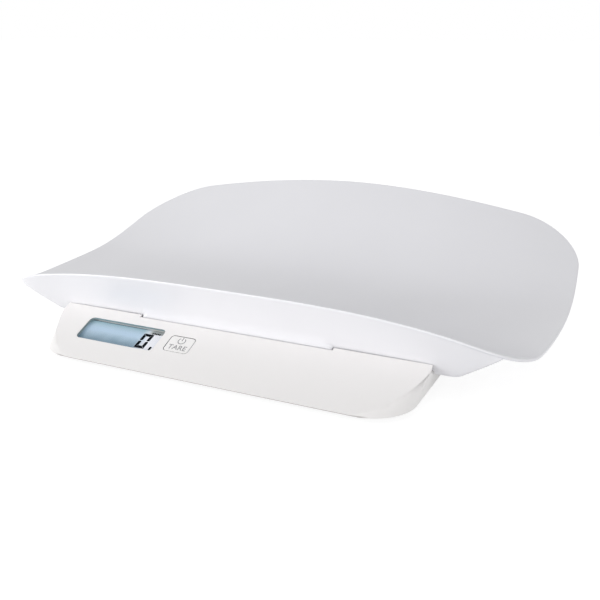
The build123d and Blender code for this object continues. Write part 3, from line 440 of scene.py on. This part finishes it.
def rib(points, foot):
    """Upright strip: at each point of a straight line, a rectangle from foot to skin."""
    along = points[-1] - points[0]
    across = np.array([-along[1], along[0]]) / np.hypot(*along) * rib_thickness / 2
    top = in_skin(points[:, 0], points[:, 1])
    foot = np.minimum(foot, top - rib_least)
    sides = ((across, foot), (-across, foot), (-across, top), (across, top))
    corners = [np.column_stack([points + way, height]) for way, height in sides]
    grid = np.stack(corners, 1)
    rows = len(points)
    faces = grid_faces(rows, 4, wrap_columns=True).tolist()
    last = (rows - 1) * 4
    faces += [[3, 2, 1, 0], [last, last + 1, last + 2, last + 3]]
    return grid, faces


def long_rib(y):
    """A rib along the tray whose foot climbs with the flanks near its ends."""
    x = np.linspace(-rib_end, rib_end, 90)
    slope = skirt_z + (np.abs(x) - flank_start) * math.tan(flank_angle)
    return rib(np.column_stack([x, np.full_like(x, y)]), np.maximum(rib_foot_z, slope))


def cross_rib(x):
    """A rib across the tray whose foot climbs with the fascia at its front end."""
    y = np.linspace(rib_front_y, hull_rear_y - hull_wall / 2, 60)
    heights = np.linspace(skirt_z, wall_top_z, 200)
    wall = leaning_y(np.full_like(heights, x), heights, hull_wall / 2)
    slope = np.interp(-y, -wall, heights)
    return rib(np.column_stack([np.full_like(y, x), y]), np.maximum(rib_foot_z, slope))


def boss(x, y, radius=9.0, sides=40):
    """Post under the skin: two rings and two poles."""
    turn = np.arange(sides) / sides * 2 * math.pi
    ring_x, ring_y = x + radius * np.cos(turn), y + radius * np.sin(turn)
    low = np.column_stack([ring_x, ring_y, np.full(sides, pad_top_z)])
    high = np.column_stack([ring_x, ring_y, in_skin(ring_x, ring_y)])
    poles = [[x, y, pad_top_z], [x, y, in_skin(x, y)]]
    faces = grid_faces(2, sides, wrap_columns=True).tolist()
    faces += ring_cap(0, sides, 2 * sides, facing_up=False).tolist()
    faces += ring_cap(1, sides, 2 * sides + 1, facing_up=True).tolist()
    return np.concatenate([low, high, poles]), faces


rib_parts = [long_rib(y) for y in pad_rows]
rib_parts += [cross_rib(x) for x in (-pad_x, -pad_x / 2, 0.0, pad_x / 2, pad_x)]
rib_parts += [boss(x, y) for x in (-pad_x, pad_x) for y in pad_rows]

tray_shell = make_object("tray_shell", [skin_part, hull_part, *rib_parts], sharp_angle=40)
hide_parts("tray")
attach(tray_shell, "tray")
print("tray_shell:", len(tray_shell.data.polygons), "faces")

# %% [markdown]
# ## The cover with its console
#
# The console's flat panel, its rounded cheeks and the deck behind it are exact in the
# construction model. What a machined model lacks is the small rounding that every moulded edge
# has, and that is where a white plastic part catches its light. So the cover is a copy of the
# model's mesh with its loose triangles merged, the flat areas joined, and a Bevel modifier on
# every edge that turns by more than 28 degrees.

# %% Lengths on the sloping panel
panel_rise, panel_reach = 26.5, 63.8
panel_slope = math.atan(panel_rise / panel_reach)
panel_origin = np.array([0.0, -181.0, 8.0])
panel_up = np.array([0.0, math.cos(panel_slope), math.sin(panel_slope)])
panel_out = np.array([0.0, -math.sin(panel_slope), math.cos(panel_slope)])
glass_depth = 3.6
window_x, window_v, window_length, window_height = -106.7, 40.3, 87.4, 29.4
key_x, key_v = -40.5, 40.1


def on_panel(x, v, depth):
    """Point of the panel's frame in the scale's frame."""
    x, v, depth = (np.asarray(value, float)[..., None] for value in (x, v, depth))
    return panel_origin + x * [1.0, 0, 0] + v * panel_up - depth * panel_out


def plate(shape, low, high):
    """Closed plate: one convex outline (x, v) between two depths, a wall of quads round it."""
    shape = np.asarray(shape, float)
    count = len(shape)
    rings = [on_panel(shape[:, 0], shape[:, 1], depth) for depth in (low, high)]
    faces = grid_faces(2, count, wrap_columns=True).tolist()
    faces += [list(range(count))[::-1], list(range(count, 2 * count))]
    return np.concatenate(rings), faces


# %% Cover
edge_angle, flat_angle, weld = 28.0, 0.4, 0.004
cheek_x, cheek_end_y, parallel = 139.0, -117.5, 0.9999


def merged_copy(node, name):
    """Copy of a construction node's mesh, merged, with flat neighbours joined."""
    mesh = nodes[node].data.copy()
    mesh.name = name
    edit = bmesh.new()
    edit.from_mesh(mesh)
    bmesh.ops.remove_doubles(edit, verts=edit.verts, dist=weld * MM)
    bmesh.ops.dissolve_limit(
        edit, angle_limit=math.radians(flat_angle), verts=edit.verts, edges=edit.edges
    )
    edit.to_mesh(mesh)
    edit.free()
    return smooth_object(name, mesh, edge_angle)


def is_cheek_roll(edge):
    """True on the line where the panel rolls over into its cheek, left and right."""
    middle = (edge.verts[0].co + edge.verts[1].co) / 2 / MM
    if abs(middle.x) < cheek_x or middle.y > cheek_end_y or len(edge.link_faces) != 2:
        return False
    flat = [face.normal.dot(Vector(panel_out)) > parallel for face in edge.link_faces]
    return flat[0] != flat[1]


def rounded_edges(piece, width, leave, segments=3, weight=90):
    """Bevel on every edge sharper than `edge_angle`, apart from those that `leave` names.

    The edges left out stay soft: the weighted normals let the widest face, which is the flat
    panel, run on into its neighbours without a visible line."""
    edit = bmesh.new()
    edit.from_mesh(piece.data)
    layer = edit.edges.layers.float.new("bevel_weight_edge")
    for edge in edit.edges:
        if leave(edge):
            edge.smooth = True
        elif len(edge.link_faces) == 2 and edge.calc_face_angle() > math.radians(edge_angle):
            edge[layer] = 1.0
    edit.to_mesh(piece.data)
    edit.free()
    bevel = piece.modifiers.new("rounded edges", "BEVEL")
    bevel.width = width * MM
    bevel.segments = segments
    bevel.limit_method = "WEIGHT"
    bevel.miter_outer = "MITER_ARC"
    normals = piece.modifiers.new("weighted normals", "WEIGHTED_NORMAL")
    normals.keep_sharp = True
    normals.weight = weight
    return piece


cover_shell = rounded_edges(merged_copy("base_cover", "cover_shell"), 0.35, is_cheek_roll)
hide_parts("base_cover")
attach(cover_shell, "base")
print("cover_shell:", len(cover_shell.data.polygons), "faces before rounding")

# %% [markdown]
# ## The display and the key's legend
#
# Segments of a liquid crystal display are dark areas inside the glass. They are built as plates
# a twentieth of a millimetre thick that lie on the glass, so they are real geometry and stay
# put from every side. Everything on the sloping panel is drawn in the panel's own lengths: x
# along it, v up it, and a depth under it.

# %% Segments of the display
stroke, ink_height = 3.3, 0.05
digit_low, digit_left, digit_width, digit_height = 29.8, -85.9, 10.9, 19.3
lean_of_digit = math.tan(math.radians(3.0))
point_place, point_size = (-70.3, 29.4), (2.4, 4.4)
mark_place, mark_size, mark_count = (-77.8, 49.5), (1.5, 2.0), 5
mark_pitch, mark_jump = 1.9, 0.3


def zero(left, gap=0.12):
    """The six outer bars of a seven-segment zero, mitred where two bars meet at a corner.

    Each bar is given for the top or the upper right, and mirrored to the other places."""
    half_w, half_h = digit_width / 2, digit_height / 2
    top = [(-half_w + gap, half_h), (half_w - gap, half_h)]
    top += [(half_w - stroke - gap, half_h - stroke), (-half_w + stroke + gap, half_h - stroke)]
    side = [(half_w, half_h - gap), (half_w, 0.3 * stroke), (half_w - stroke / 2, 2 * gap)]
    side += [(half_w - stroke, 0.3 * stroke), (half_w - stroke, half_h - stroke - gap)]
    bars = []
    for bar, mirrors in ((top, ((1, 1), (1, -1))), (side, ((1, 1), (1, -1), (-1, 1), (-1, -1)))):
        for across, up in mirrors:
            points = np.array(bar) * [across, up]
            # a mirrored outline runs the other way round, so it is turned back
            bars.append(points if across * up > 0 else points[::-1])
    middle = np.array([left + half_w, digit_low + half_h])
    return [bar @ [[1, 0], [lean_of_digit, 1]] + middle for bar in bars]


def block(x, v, length, height):
    """Rectangle from its lower left corner, anticlockwise."""
    return [(x, v), (x + length, v), (x + length, v + height), (x, v + height)]


dark_shapes = zero(digit_left)
dark_shapes.append(block(*point_place, *point_size))
dark_shapes += [
    block(mark_place[0] + mark_pitch * i, mark_place[1] + mark_jump * (i % 2), *mark_size)
    for i in range(mark_count)
]
segment_parts = [plate(shape, glass_depth, glass_depth - ink_height) for shape in dark_shapes]
display_segments = make_object("display_segments", segment_parts)
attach(display_segments, "base")
print("display_segments:", len(dark_shapes), "plates")

# %% Legend on the key
print_height, word_size, word_drop = 0.04, 8.2, 4.6
sign_rise, sign_radius, sign_stroke, sign_arc = 4.4, 3.6, 0.8, (38, 322)
stem_rise, stem_height = 4.6, 4.3


def arc_strip(x, v, radius, width, start, end, steps=28):
    """Ring piece between two angles, as closed plates of four corners each."""
    turn = np.radians(np.linspace(start, end, steps + 1))
    inner, outer = radius - width / 2, radius + width / 2
    ring = [np.stack([x + r * np.sin(turn), v + r * np.cos(turn)], 1) for r in (inner, outer)]
    return [[ring[0][i], ring[0][i + 1], ring[1][i + 1], ring[1][i]] for i in range(steps)]


def legend_words(text, size, x, v):
    """A word in the built-in typeface, made a mesh first and then laid on the panel."""
    curve = bpy.data.curves.new("word", "FONT")
    curve.body, curve.size = text, size
    curve.align_x, curve.align_y = "CENTER", "CENTER"
    curve.resolution_u = 6
    holder = add_object("word", curve)
    flat = bpy.data.meshes.new_from_object(holder)
    bpy.data.objects.remove(holder)
    points = np.zeros(len(flat.vertices) * 3)
    flat.vertices.foreach_get("co", points)
    points = points.reshape(-1, 3)
    faces = [list(p.vertices) for p in flat.polygons]
    count = len(points)
    # walls stand on the edges that belong to one face only
    edges = {}
    for face in faces:
        for a, b in zip(face, face[1:] + face[:1]):
            edges[(a, b)] = edges.get((a, b), 0) + 1
    rim = [(a, b) for a, b in edges if (b, a) not in edges]
    low, high = (
        on_panel(x + points[:, 0], v + points[:, 1], depth) for depth in (0.0, -print_height)
    )
    all_faces = [[i + count for i in face] for face in faces] + [face[::-1] for face in faces]
    all_faces += [[a, b, b + count, a + count] for a, b in rim]
    return np.concatenate([low, high]), all_faces


ring = arc_strip(key_x, key_v + sign_rise, sign_radius, sign_stroke, *sign_arc)
stem = block(key_x - sign_stroke / 2, key_v + stem_rise, sign_stroke, stem_height)
legend_parts = [plate(shape, 0.0, -print_height) for shape in (*(s[::-1] for s in ring), stem)]
legend_parts.append(legend_words("TARE", word_size, key_x, key_v - word_drop))
key_legend = make_object("key_legend", legend_parts)
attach(key_legend, "tare_key")
print("key_legend:", len(key_legend.data.polygons), "faces")

# %% [markdown]
# ## Finishes
#
# Moulded plastic is never one flat colour. Close up it has a fine grain from the mould, and
# from further away hands and cloths leave wide, faint changes in how it shines. Both come from
# noise in the piece's own coordinates, packed into one node group that every plastic uses with
# its own values. The group gives a colour, a roughness and a height; the shader itself stays in
# the material.

# %% Node helpers
finishes = {}


def feed(tree, socket, value):
    """Links an input to another node's output, or sets it to a plain value."""
    if isinstance(value, bpy.types.NodeSocket):
        tree.links.new(value, socket)
    else:
        socket.default_value = value


def feed_all(tree, node, values):
    """Feeds the inputs that a table names."""
    for label, value in values.items():
        feed(tree, node.inputs[label], value)


def add_node(tree, kind, *first, **values):
    """A node: settings and inputs given by name, and its first inputs in their own order."""
    node = tree.nodes.new(f"ShaderNode{kind}")
    for key, value in values.items():
        if key in node.inputs:
            feed(tree, node.inputs[key], value)
        else:
            setattr(node, key, value)
    for socket, value in zip(node.inputs, first):
        feed(tree, socket, value)
    return node


def place_in(tree):
    """The shaded point in the piece's own coordinates."""
    return add_node(tree, "TexCoord").outputs["Object"]


def calculate(tree, operation, *values):
    """Result of one Math node on sockets or numbers."""
    return add_node(tree, "Math", *values, operation=operation).outputs["Value"]


def remap(tree, value, low, high, to_low=0.0, to_high=1.0):
    """Carries a value from one span to another."""
    span = {"From Min": low, "From Max": high, "To Min": to_low, "To Max": to_high}
    return add_node(tree, "MapRange", value, **span).outputs["Result"]


def mix_colours(tree, factor, one, two):
    """Colour between two others, each given as a tuple or a socket."""
    mix = add_node(tree, "Mix", factor, data_type="RGBA")
    for socket, colour in ((mix.inputs[6], one), (mix.inputs[7], two)):
        feed(tree, socket, (*colour, 1) if isinstance(colour, tuple) else colour)
    return mix.outputs[2]


def finish_group(name, inputs):
    """Empty group: inputs given as (name, kind, value), the outputs alike for all finishes."""
    group = bpy.data.node_groups.new(name, "ShaderNodeTree")
    sockets = group.interface
    for label, kind, value in inputs:
        socket = sockets.new_socket(label, in_out="INPUT", socket_type=f"NodeSocket{kind}")
        socket.default_value = value
    for label, kind in (("Colour", "Color"), ("Roughness", "Float"), ("Height", "Float")):
        sockets.new_socket(label, in_out="OUTPUT", socket_type=f"NodeSocket{kind}")
    return group, group.nodes.new("NodeGroupInput").outputs, group.nodes.new("NodeGroupOutput")


def new_material(name, values=None):
    """Material with a Principled shader, kept in `finishes` under its name."""
    material = finishes[name] = bpy.data.materials.new(name)
    material.use_nodes = True
    tree = material.node_tree
    shader = tree.nodes["Principled BSDF"]
    feed_all(tree, shader, values or {})
    return tree, shader


def bump_from(tree, height, shader, depth):
    """Bump of a real depth in millimetres, so that grain stays a grain from any distance."""
    bump = add_node(tree, "Bump", Strength=0.5, Distance=depth * MM, Height=height)
    feed(tree, shader.inputs["Normal"], bump.outputs["Normal"])


def finished_by(group, name, depth, settings, values):
    """Material whose colour, roughness and bump come from a finish group."""
    tree, shader = new_material(name, values)
    finish = tree.nodes.new("ShaderNodeGroup")
    finish.node_tree = group
    feed_all(tree, finish, settings)
    feed(tree, shader.inputs["Base Color"], finish.outputs["Colour"])
    feed(tree, shader.inputs["Roughness"], finish.outputs["Roughness"])
    bump_from(tree, finish.outputs["Height"], shader, depth)


# %% Moulded finish
def build_moulded_finish():
    """Colour and roughness follow wide marks, the height follows a fine grain."""
    group, inside, out = finish_group(
        "moulded_finish",
        [
            ("Colour", "Color", (0.8, 0.8, 0.8, 1)),
            ("Handled Colour", "Color", (0.78, 0.78, 0.78, 1)),
            ("Mark Scale", "Float", 14.0),
            ("Grain Scale", "Float", 2600.0),
            ("Polished", "Float", 0.3),
            ("Dull", "Float", 0.42),
        ],
    )
    place = place_in(group)
    marks, grain = [
        add_node(group, "TexNoise", Vector=place, Scale=inside[scale], Detail=2.0, Roughness=rough)
        for scale, rough in (("Mark Scale", 0.4), ("Grain Scale", 0.5))
    ]
    amount = remap(group, marks.outputs["Fac"], 0.2, 0.8)
    colour = mix_colours(group, amount, inside["Colour"], inside["Handled Colour"])
    gloss = remap(group, amount, 0.0, 1.0, inside["Polished"], inside["Dull"])
    feed_all(group, out, {"Colour": colour, "Roughness": gloss, "Height": grain.outputs["Fac"]})
    return group


moulded_finish = build_moulded_finish()


def moulded(name, colour, handled, gloss, grain=2600.0, depth=0.003, marks=14.0, values=None):
    """Plastic with the moulded finish; the two colours are close, gloss is (polished, dull)."""
    settings = {
        "Colour": (*colour, 1),
        "Handled Colour": (*handled, 1),
        "Mark Scale": marks,
        "Grain Scale": grain,
        "Polished": gloss[0],
        "Dull": gloss[1],
    }
    finished_by(moulded_finish, name, depth, settings, values)


# %% Plastics and rubber
clear_coat = {"Coat Weight": 0.25, "Coat Roughness": 0.12}
moulded(
    "tray_plastic", (0.837, 0.834, 0.862), (0.822, 0.819, 0.847), (0.285, 0.36), values=clear_coat
)
moulded("cover_plastic", (0.875, 0.858, 0.848), (0.86, 0.843, 0.833), (0.3, 0.42))
moulded("key_plastic", (0.885, 0.87, 0.86), (0.86, 0.845, 0.832), (0.3, 0.45))
moulded("legend_ink", (0.2, 0.2, 0.21), (0.26, 0.26, 0.27), (0.45, 0.6))
moulded(
    "pan_plastic", (0.6, 0.6, 0.59), (0.56, 0.56, 0.55), (0.45, 0.6), grain=1500.0, depth=0.012
)
moulded("button_plastic", (0.33, 0.34, 0.36), (0.38, 0.39, 0.41), (0.4, 0.55))
moulded("foot_plastic", (0.5, 0.5, 0.5), (0.45, 0.45, 0.45), (0.4, 0.55))
moulded("inner_plastic", (0.72, 0.72, 0.7), (0.68, 0.68, 0.66), (0.4, 0.55))
moulded("chip_plastic", (0.03, 0.03, 0.033), (0.05, 0.05, 0.053), (0.4, 0.6))
moulded(
    "segment_ink",
    (0.002, 0.003, 0.005),
    (0.004, 0.005, 0.008),
    (0.5, 0.6),
    values={"Specular IOR Level": 0.02},
)
moulded(
    "pad_rubber",
    (0.42, 0.42, 0.41),
    (0.5, 0.49, 0.48),
    (0.75, 0.9),
    grain=900.0,
    depth=0.06,
    marks=60.0,
    values={"Sheen Weight": 0.15},
)
moulded("lead_jacket", (0.5, 0.06, 0.05), (0.42, 0.05, 0.045), (0.35, 0.5))
print("plastics:", len(finishes))

# %% [markdown]
# ### Painted shade in the narrow places
#
# The rim of the display opening is a narrow wall; its colour is painted shade, tinted as if by the
# lit glass. The gap round the key and the parting line under the cover's front edge get painted
# shade too. All of them are parts of a larger moulding, so each painted shade is a mask in the
# piece's own coordinates: a box in the panel's lengths, or a low band of the edge.

# %% Painted shade on opening, parting line and gap
opening_edge, opening_depth = 0.3, (1.6, 1.25)
lip_z, lip_height, lip_share, lip_ends = 7.0, 1.0, 0.6, (150.0, 156.0)
gap_depth = 3.0


def panel_lengths(tree):
    """Sockets of x, v and depth of the shaded point, from its Object coordinates."""
    origin = Vector(panel_origin * MM)
    apart = add_node(tree, "VectorMath", place_in(tree), origin, operation="SUBTRACT")
    return [
        add_node(
            tree, "VectorMath", apart.outputs["Vector"], Vector(way), operation="DOT_PRODUCT"
        ).outputs["Value"]
        for way in ((1, 0, 0), panel_up, -panel_out)
    ]


def within(tree, value, middle, half):
    """One where a value is nearer than `half` (mm) to `middle`, otherwise zero."""
    return calculate(tree, "COMPARE", value, middle * MM, half * MM)


def both(tree, one, two):
    """One where both masks are one."""
    return calculate(tree, "MULTIPLY", one, two)


def panel_box(tree, *spans):
    """Mask of a box in the panel's lengths, given as (middle, half) along x, v and depth."""
    x, v, depth = [
        within(tree, value, *span) for value, span in zip(panel_lengths(tree), spans)
    ]
    return both(tree, both(tree, x, v), depth)


def paint_shade(tree, mask, colour):
    """Painted shade: mixes a darker colour over the shader's own one where the mask is one."""
    socket = tree.nodes["Principled BSDF"].inputs["Base Color"]
    own = socket.links[0].from_socket
    feed(tree, socket, mix_colours(tree, mask, own, colour))


def parting_shade_mask(tree):
    """Painted shade of the parting line: the lowest part of the cover's edge, apart from its two
    ends.
    """
    apart = add_node(tree, "SeparateXYZ", place_in(tree)).outputs
    top, full = lip_z + lip_height, lip_z + lip_share * lip_height
    low = remap(tree, apart["Z"], top * MM, full * MM)
    away = calculate(tree, "ABSOLUTE", apart["X"])
    return both(tree, low, remap(tree, away, lip_ends[0] * MM, lip_ends[1] * MM, 1.0, 0.0))


cover_tree, key_tree = (finishes[f"{name}_plastic"].node_tree for name in ("cover", "key"))
opening_x = (window_x, window_length / 2 + opening_edge)
opening_v = (window_v, window_height / 2 + opening_edge)
# painted shade on the walls of the display opening, tinted as if by the glass's light
paint_shade(cover_tree, panel_box(cover_tree, opening_x, opening_v, opening_depth), (0.21, 0.29, 0.31))
# painted shade along the parting line under the cover's front edge
paint_shade(cover_tree, parting_shade_mask(cover_tree), (0.5, 0.48, 0.47))
# painted shade in the gap round the key, on the cover's wall and on the key's side
for tree, half_length, half_height, top in (
    (cover_tree, 13.8, 10.8, 0.06),
    (key_tree, 20.0, 15.0, 0.2),
):
    box = [(key_x, half_length), (key_v, half_height), (gap_depth + top, gap_depth)]
    paint_shade(tree, panel_box(tree, *box), (0.12, 0.12, 0.12))

# %% Lens, display glass and light guide
new_material(
    "window_plastic",
    {
        "Base Color": (0.3, 0.36, 0.4, 1),
        "Roughness": 0.04,
        "Alpha": 0.01,
        "IOR": 1.49,
        "Specular IOR Level": 0.25,
    },
)


def build_display_glass():
    """Lit liquid crystal: darker along its lower edge, palest at the right where the lamp sits,
    with painted shade of the opening's top wall along its upper edge.
    """
    tree, shader = new_material("display_glass", {"Emission Strength": 0.32, "Roughness": 0.25})
    along, up, _ = panel_lengths(tree)
    spot = add_node(tree, "CombineXYZ", along, up).outputs["Vector"]
    cloud = add_node(tree, "TexNoise", Vector=spot, Scale=60.0, Detail=2.0)
    uneven = remap(tree, cloud.outputs["Fac"], 0.2, 0.8, -0.002, 0.002)
    wavy = calculate(tree, "ADD", up, uneven)
    corner = both(tree, within(tree, up, 55.0, 5.2), remap(tree, along, -0.082, -0.078))
    colour = (0.14, 0.22, 0.28)
    # each row lays a further colour over the last one, between two values of a length or mask
    for over, value, low, high in (
        ((0.33, 0.445, 0.55), wavy, 0.031, 0.042),
        # painted shade of the opening's top wall: a darker band, then a dark line at the upper
        # edge
        ((0.24, 0.36, 0.42), up, 0.046, 0.053),
        ((0.09, 0.15, 0.19), up, 0.0543, 0.055),
        ((0.64, 0.65, 0.69), along, -0.088, -0.077),
        # painted shade of the top wall over the pale right end
        ((0.24, 0.26, 0.26), corner, 0.0, 1.0),
    ):
        colour = mix_colours(tree, remap(tree, value, low, high), colour, over)
    feed_all(tree, shader, {"Base Color": colour, "Emission Color": colour})


build_display_glass()

pale_glow = {"Emission Color": (0.7, 0.85, 0.95, 1), "Emission Strength": 0.2}
tree, shader = new_material("light_guide", {"Base Color": (0.8, 0.86, 0.9, 1), **pale_glow})
dots = add_node(tree, "TexVoronoi", Vector=place_in(tree), Scale=900.0)
frost = remap(tree, dots.outputs["Distance"], 0.1, 0.5, 0.35, 0.7)
feed(tree, shader.inputs["Roughness"], frost)

# %% [markdown]
# ### Metals, film and board
#
# Screws and springs are drawn or rolled metal: the scratches run one way, which is a noise
# stretched fifteen to sixty times in that direction. The circuit board shows copper tracks
# through its green mask, and each gauge film has its folded wire.

# %% Rolled metal
def build_rolled_metal():
    """Stretched noise as roughness and height, with a slow change of tone."""
    group, inside, out = finish_group(
        "rolled_metal",
        [
            ("Colour", "Color", (0.6, 0.6, 0.6, 1)),
            ("Dark Colour", "Color", (0.5, 0.5, 0.5, 1)),
            ("Stretch", "Vector", (30.0, 1500.0, 1500.0)),
        ],
    )
    place = place_in(group)
    pull = add_node(group, "VectorMath", place, inside["Stretch"], operation="MULTIPLY")
    lines = add_node(group, "TexNoise", Vector=pull.outputs["Vector"], Scale=1.0, Detail=3.0)
    tone = add_node(group, "TexNoise", Vector=place, Scale=70.0, Detail=3.0)
    amount = remap(group, tone.outputs["Fac"], 0.35, 0.7)
    colour = mix_colours(group, amount, inside["Colour"], inside["Dark Colour"])
    gloss = remap(group, lines.outputs["Fac"], 0.3, 0.7, 0.22, 0.42)
    feed_all(group, out, {"Colour": colour, "Roughness": gloss, "Height": lines.outputs["Fac"]})
    return group


rolled_metal = build_rolled_metal()


def metal(name, colour, dark, stretch, depth=0.01):
    """Metal whose scratches run along the axis with the smallest stretch."""
    settings = {"Colour": (*colour, 1), "Dark Colour": (*dark, 1), "Stretch": stretch}
    finished_by(rolled_metal, name, depth, settings, {"Metallic": 1.0})


metal("screw_steel", (0.58, 0.58, 0.6), (0.46, 0.46, 0.47), (900.0, 900.0, 60.0))
metal("cell_steel", (0.62, 0.62, 0.61), (0.52, 0.52, 0.52), (25.0, 1400.0, 1400.0))
metal("spring_steel", (0.72, 0.71, 0.68), (0.6, 0.59, 0.56), (1200.0, 60.0, 1200.0))

# %% Board, film and cell jacket
band_y, band_half = 76.0, 8.0


def build_circuit_board():
    """Green mask over copper: tracks are the narrow mortar lines of a brick pattern."""
    tree, shader = new_material("circuit_board", {"Roughness": 0.32})
    tracks = add_node(tree, "TexBrick", Vector=place_in(tree), Scale=120.0)
    board_colours = {
        "Color1": (0.02, 0.16, 0.06, 1),
        "Color2": (0.025, 0.19, 0.07, 1),
        "Mortar": (0.08, 0.36, 0.13, 1),
    }
    feed_all(tree, tracks, {**board_colours, "Mortar Size": 0.035})
    feed(tree, shader.inputs["Base Color"], tracks.outputs["Color"])
    bump_from(tree, tracks.outputs["Fac"], shader, 0.03)


def build_gauge_film():
    """Amber film with the folded wire of the gauge as fine bands."""
    tree, shader = new_material("gauge_film", {"Roughness": 0.3})
    bands = add_node(
        tree, "TexWave", Vector=place_in(tree), Scale=330.0, bands_direction="X"
    )
    wire = remap(tree, bands.outputs["Fac"], 0.55, 0.75)
    colour = mix_colours(tree, wire, (0.5, 0.24, 0.05), (0.62, 0.55, 0.48))
    feed(tree, shader.inputs["Base Color"], colour)


def build_cell_jacket():
    """Printed sleeve: a plain dark body and a pale band, told apart by the place along Y."""
    tree, shader = new_material("cell_jacket")
    place = place_in(tree)
    apart = add_node(tree, "SeparateXYZ", place)
    band = within(tree, apart.outputs["Y"], band_y, band_half)
    colour = mix_colours(tree, band, (0.035, 0.05, 0.09), (0.6, 0.55, 0.38))
    wear = add_node(tree, "TexNoise", Vector=place, Scale=300.0, Detail=3.0)
    gloss = remap(tree, wear.outputs["Fac"], 0.3, 0.7, 0.2, 0.4)
    feed_all(tree, shader, {"Base Color": colour, "Roughness": gloss})


build_circuit_board()
build_gauge_film()
build_cell_jacket()
print("finishes:", len(finishes))

# %% [markdown]
# ### Giving every piece its finish
#
# The record says which material slot each construction node takes. Every finish above is kept
# under the name of its slot, so a new node needs no new line here.

# %% Assign the finishes
def dress(piece, finish):
    """One finish in every slot of a piece."""
    if not piece.material_slots:
        piece.data.materials.append(finishes[finish])
    for place in piece.material_slots:
        place.material = finishes[finish]


for part in record["subparts"]:
    dress(nodes[part["node"]], part["material_slot"])
tray_shell.data.materials.clear()
cover_shell.data.materials.clear()
dress(tray_shell, "tray_plastic")
dress(cover_shell, "cover_plastic")
dress(display_segments, "segment_ink")
dress(key_legend, "legend_ink")
print("dressed", len(record["subparts"]), "construction nodes and 4 new pieces")

# %% [markdown]
# ## Floor and light
#
# White plastic on white needs light with a direction, or it loses its form. Three wide soft
# lamps stand low around the scale: the strongest in front on the left, a weaker one on the
# right, and one behind that lifts the inside of the rear wall and shows in no gloss. Surfaces
# that face a lamp are lightest and the flat floor of the tray falls a little darker. The floor
# shows white to the camera, yet a part of it is lit in the ordinary way, which keeps a faint
# shadow under the scale.

# %% Room and floor
def seen_directly(tree):
    """Light Path mask: camera, glossy and transmission rays."""
    path = add_node(tree, "LightPath").outputs
    either = calculate(tree, "MAXIMUM", path["Is Camera Ray"], path["Is Glossy Ray"])
    return calculate(tree, "MAXIMUM", either, path["Is Transmission Ray"])


world = bpy.data.worlds.new("room")
world.use_nodes = True
bpy.context.scene.world = world
room = world.node_tree
room_light = room.nodes["Background"]
feed_all(room, room_light, {"Color": (0.985, 0.99, 1.0, 1), "Strength": 0.52})
white_room = add_node(room, "Background", Color=(1, 1, 1, 1), Strength=1.0)
backgrounds = [node.outputs["Background"] for node in (room_light, white_room)]
choose = add_node(room, "MixShader", seen_directly(room), *backgrounds)
feed(room, room.nodes["World Output"].inputs["Surface"], choose.outputs["Shader"])

tree, shader = new_material("floor")
tree.nodes.remove(shader)
plain = add_node(tree, "BsdfDiffuse", Color=(0.86, 0.86, 0.86, 1)).outputs["BSDF"]
faint = add_node(tree, "BsdfDiffuse", Color=(0.3, 0.3, 0.3, 1)).outputs["BSDF"]
glow = add_node(tree, "Emission", Color=(1, 1, 1, 1), Strength=0.86).outputs["Emission"]
shown = add_node(tree, "AddShader", faint, glow).outputs["Shader"]
above = add_node(tree, "MixShader", seen_directly(tree), plain, shown).outputs["Shader"]
# from below the floor lets everything through, so that the underside can be looked at
from_below = add_node(tree, "NewGeometry").outputs["Backfacing"]
clear = add_node(tree, "BsdfTransparent").outputs["BSDF"]
one_sided = add_node(tree, "MixShader", from_below, above, clear)
feed(tree, tree.nodes["Material Output"].inputs["Surface"], one_sided.outputs["Shader"])

floor_mesh = bpy.data.meshes.new("floor")
reach = 40.0
below = -0.0001  # a hair under the rubber pads, so that no face lies in the same plane
corners = [(-reach, -reach), (reach, -reach), (reach, reach), (-reach, reach)]
floor_mesh.from_pydata([(x, y, below) for x, y in corners], [], [(0, 1, 2, 3)])
floor = add_object("floor", floor_mesh)
floor.data.materials.append(finishes["floor"])

# %% Lamps
def soft_lamp(name, place, aim, size, power):
    """Square area lamp at a place, turned to a point, both in metres."""
    data = bpy.data.lights.new(name, "AREA")
    data.shape, data.size, data.energy = "SQUARE", size, power
    lamp = add_object(name, data)
    lamp.location = place
    lamp.rotation_euler = (Vector(aim) - Vector(place)).to_track_quat("-Z", "Y").to_euler()
    return lamp


soft_lamp("front lamp", (-1.1, -1.3, 0.4), (0, 0, 0.06), 1.1, 18.0)
soft_lamp("side lamp", (1.3, -1.1, 0.3), (0, 0, 0.04), 0.9, 8.0)
back_lamp = soft_lamp("back lamp", (-0.3, 1.7, 0.35), (0, 0, 0.04), 1.1, 8.0)
back_lamp.visible_glossy = False
bpy.context.scene.view_settings.view_transform = "Standard"
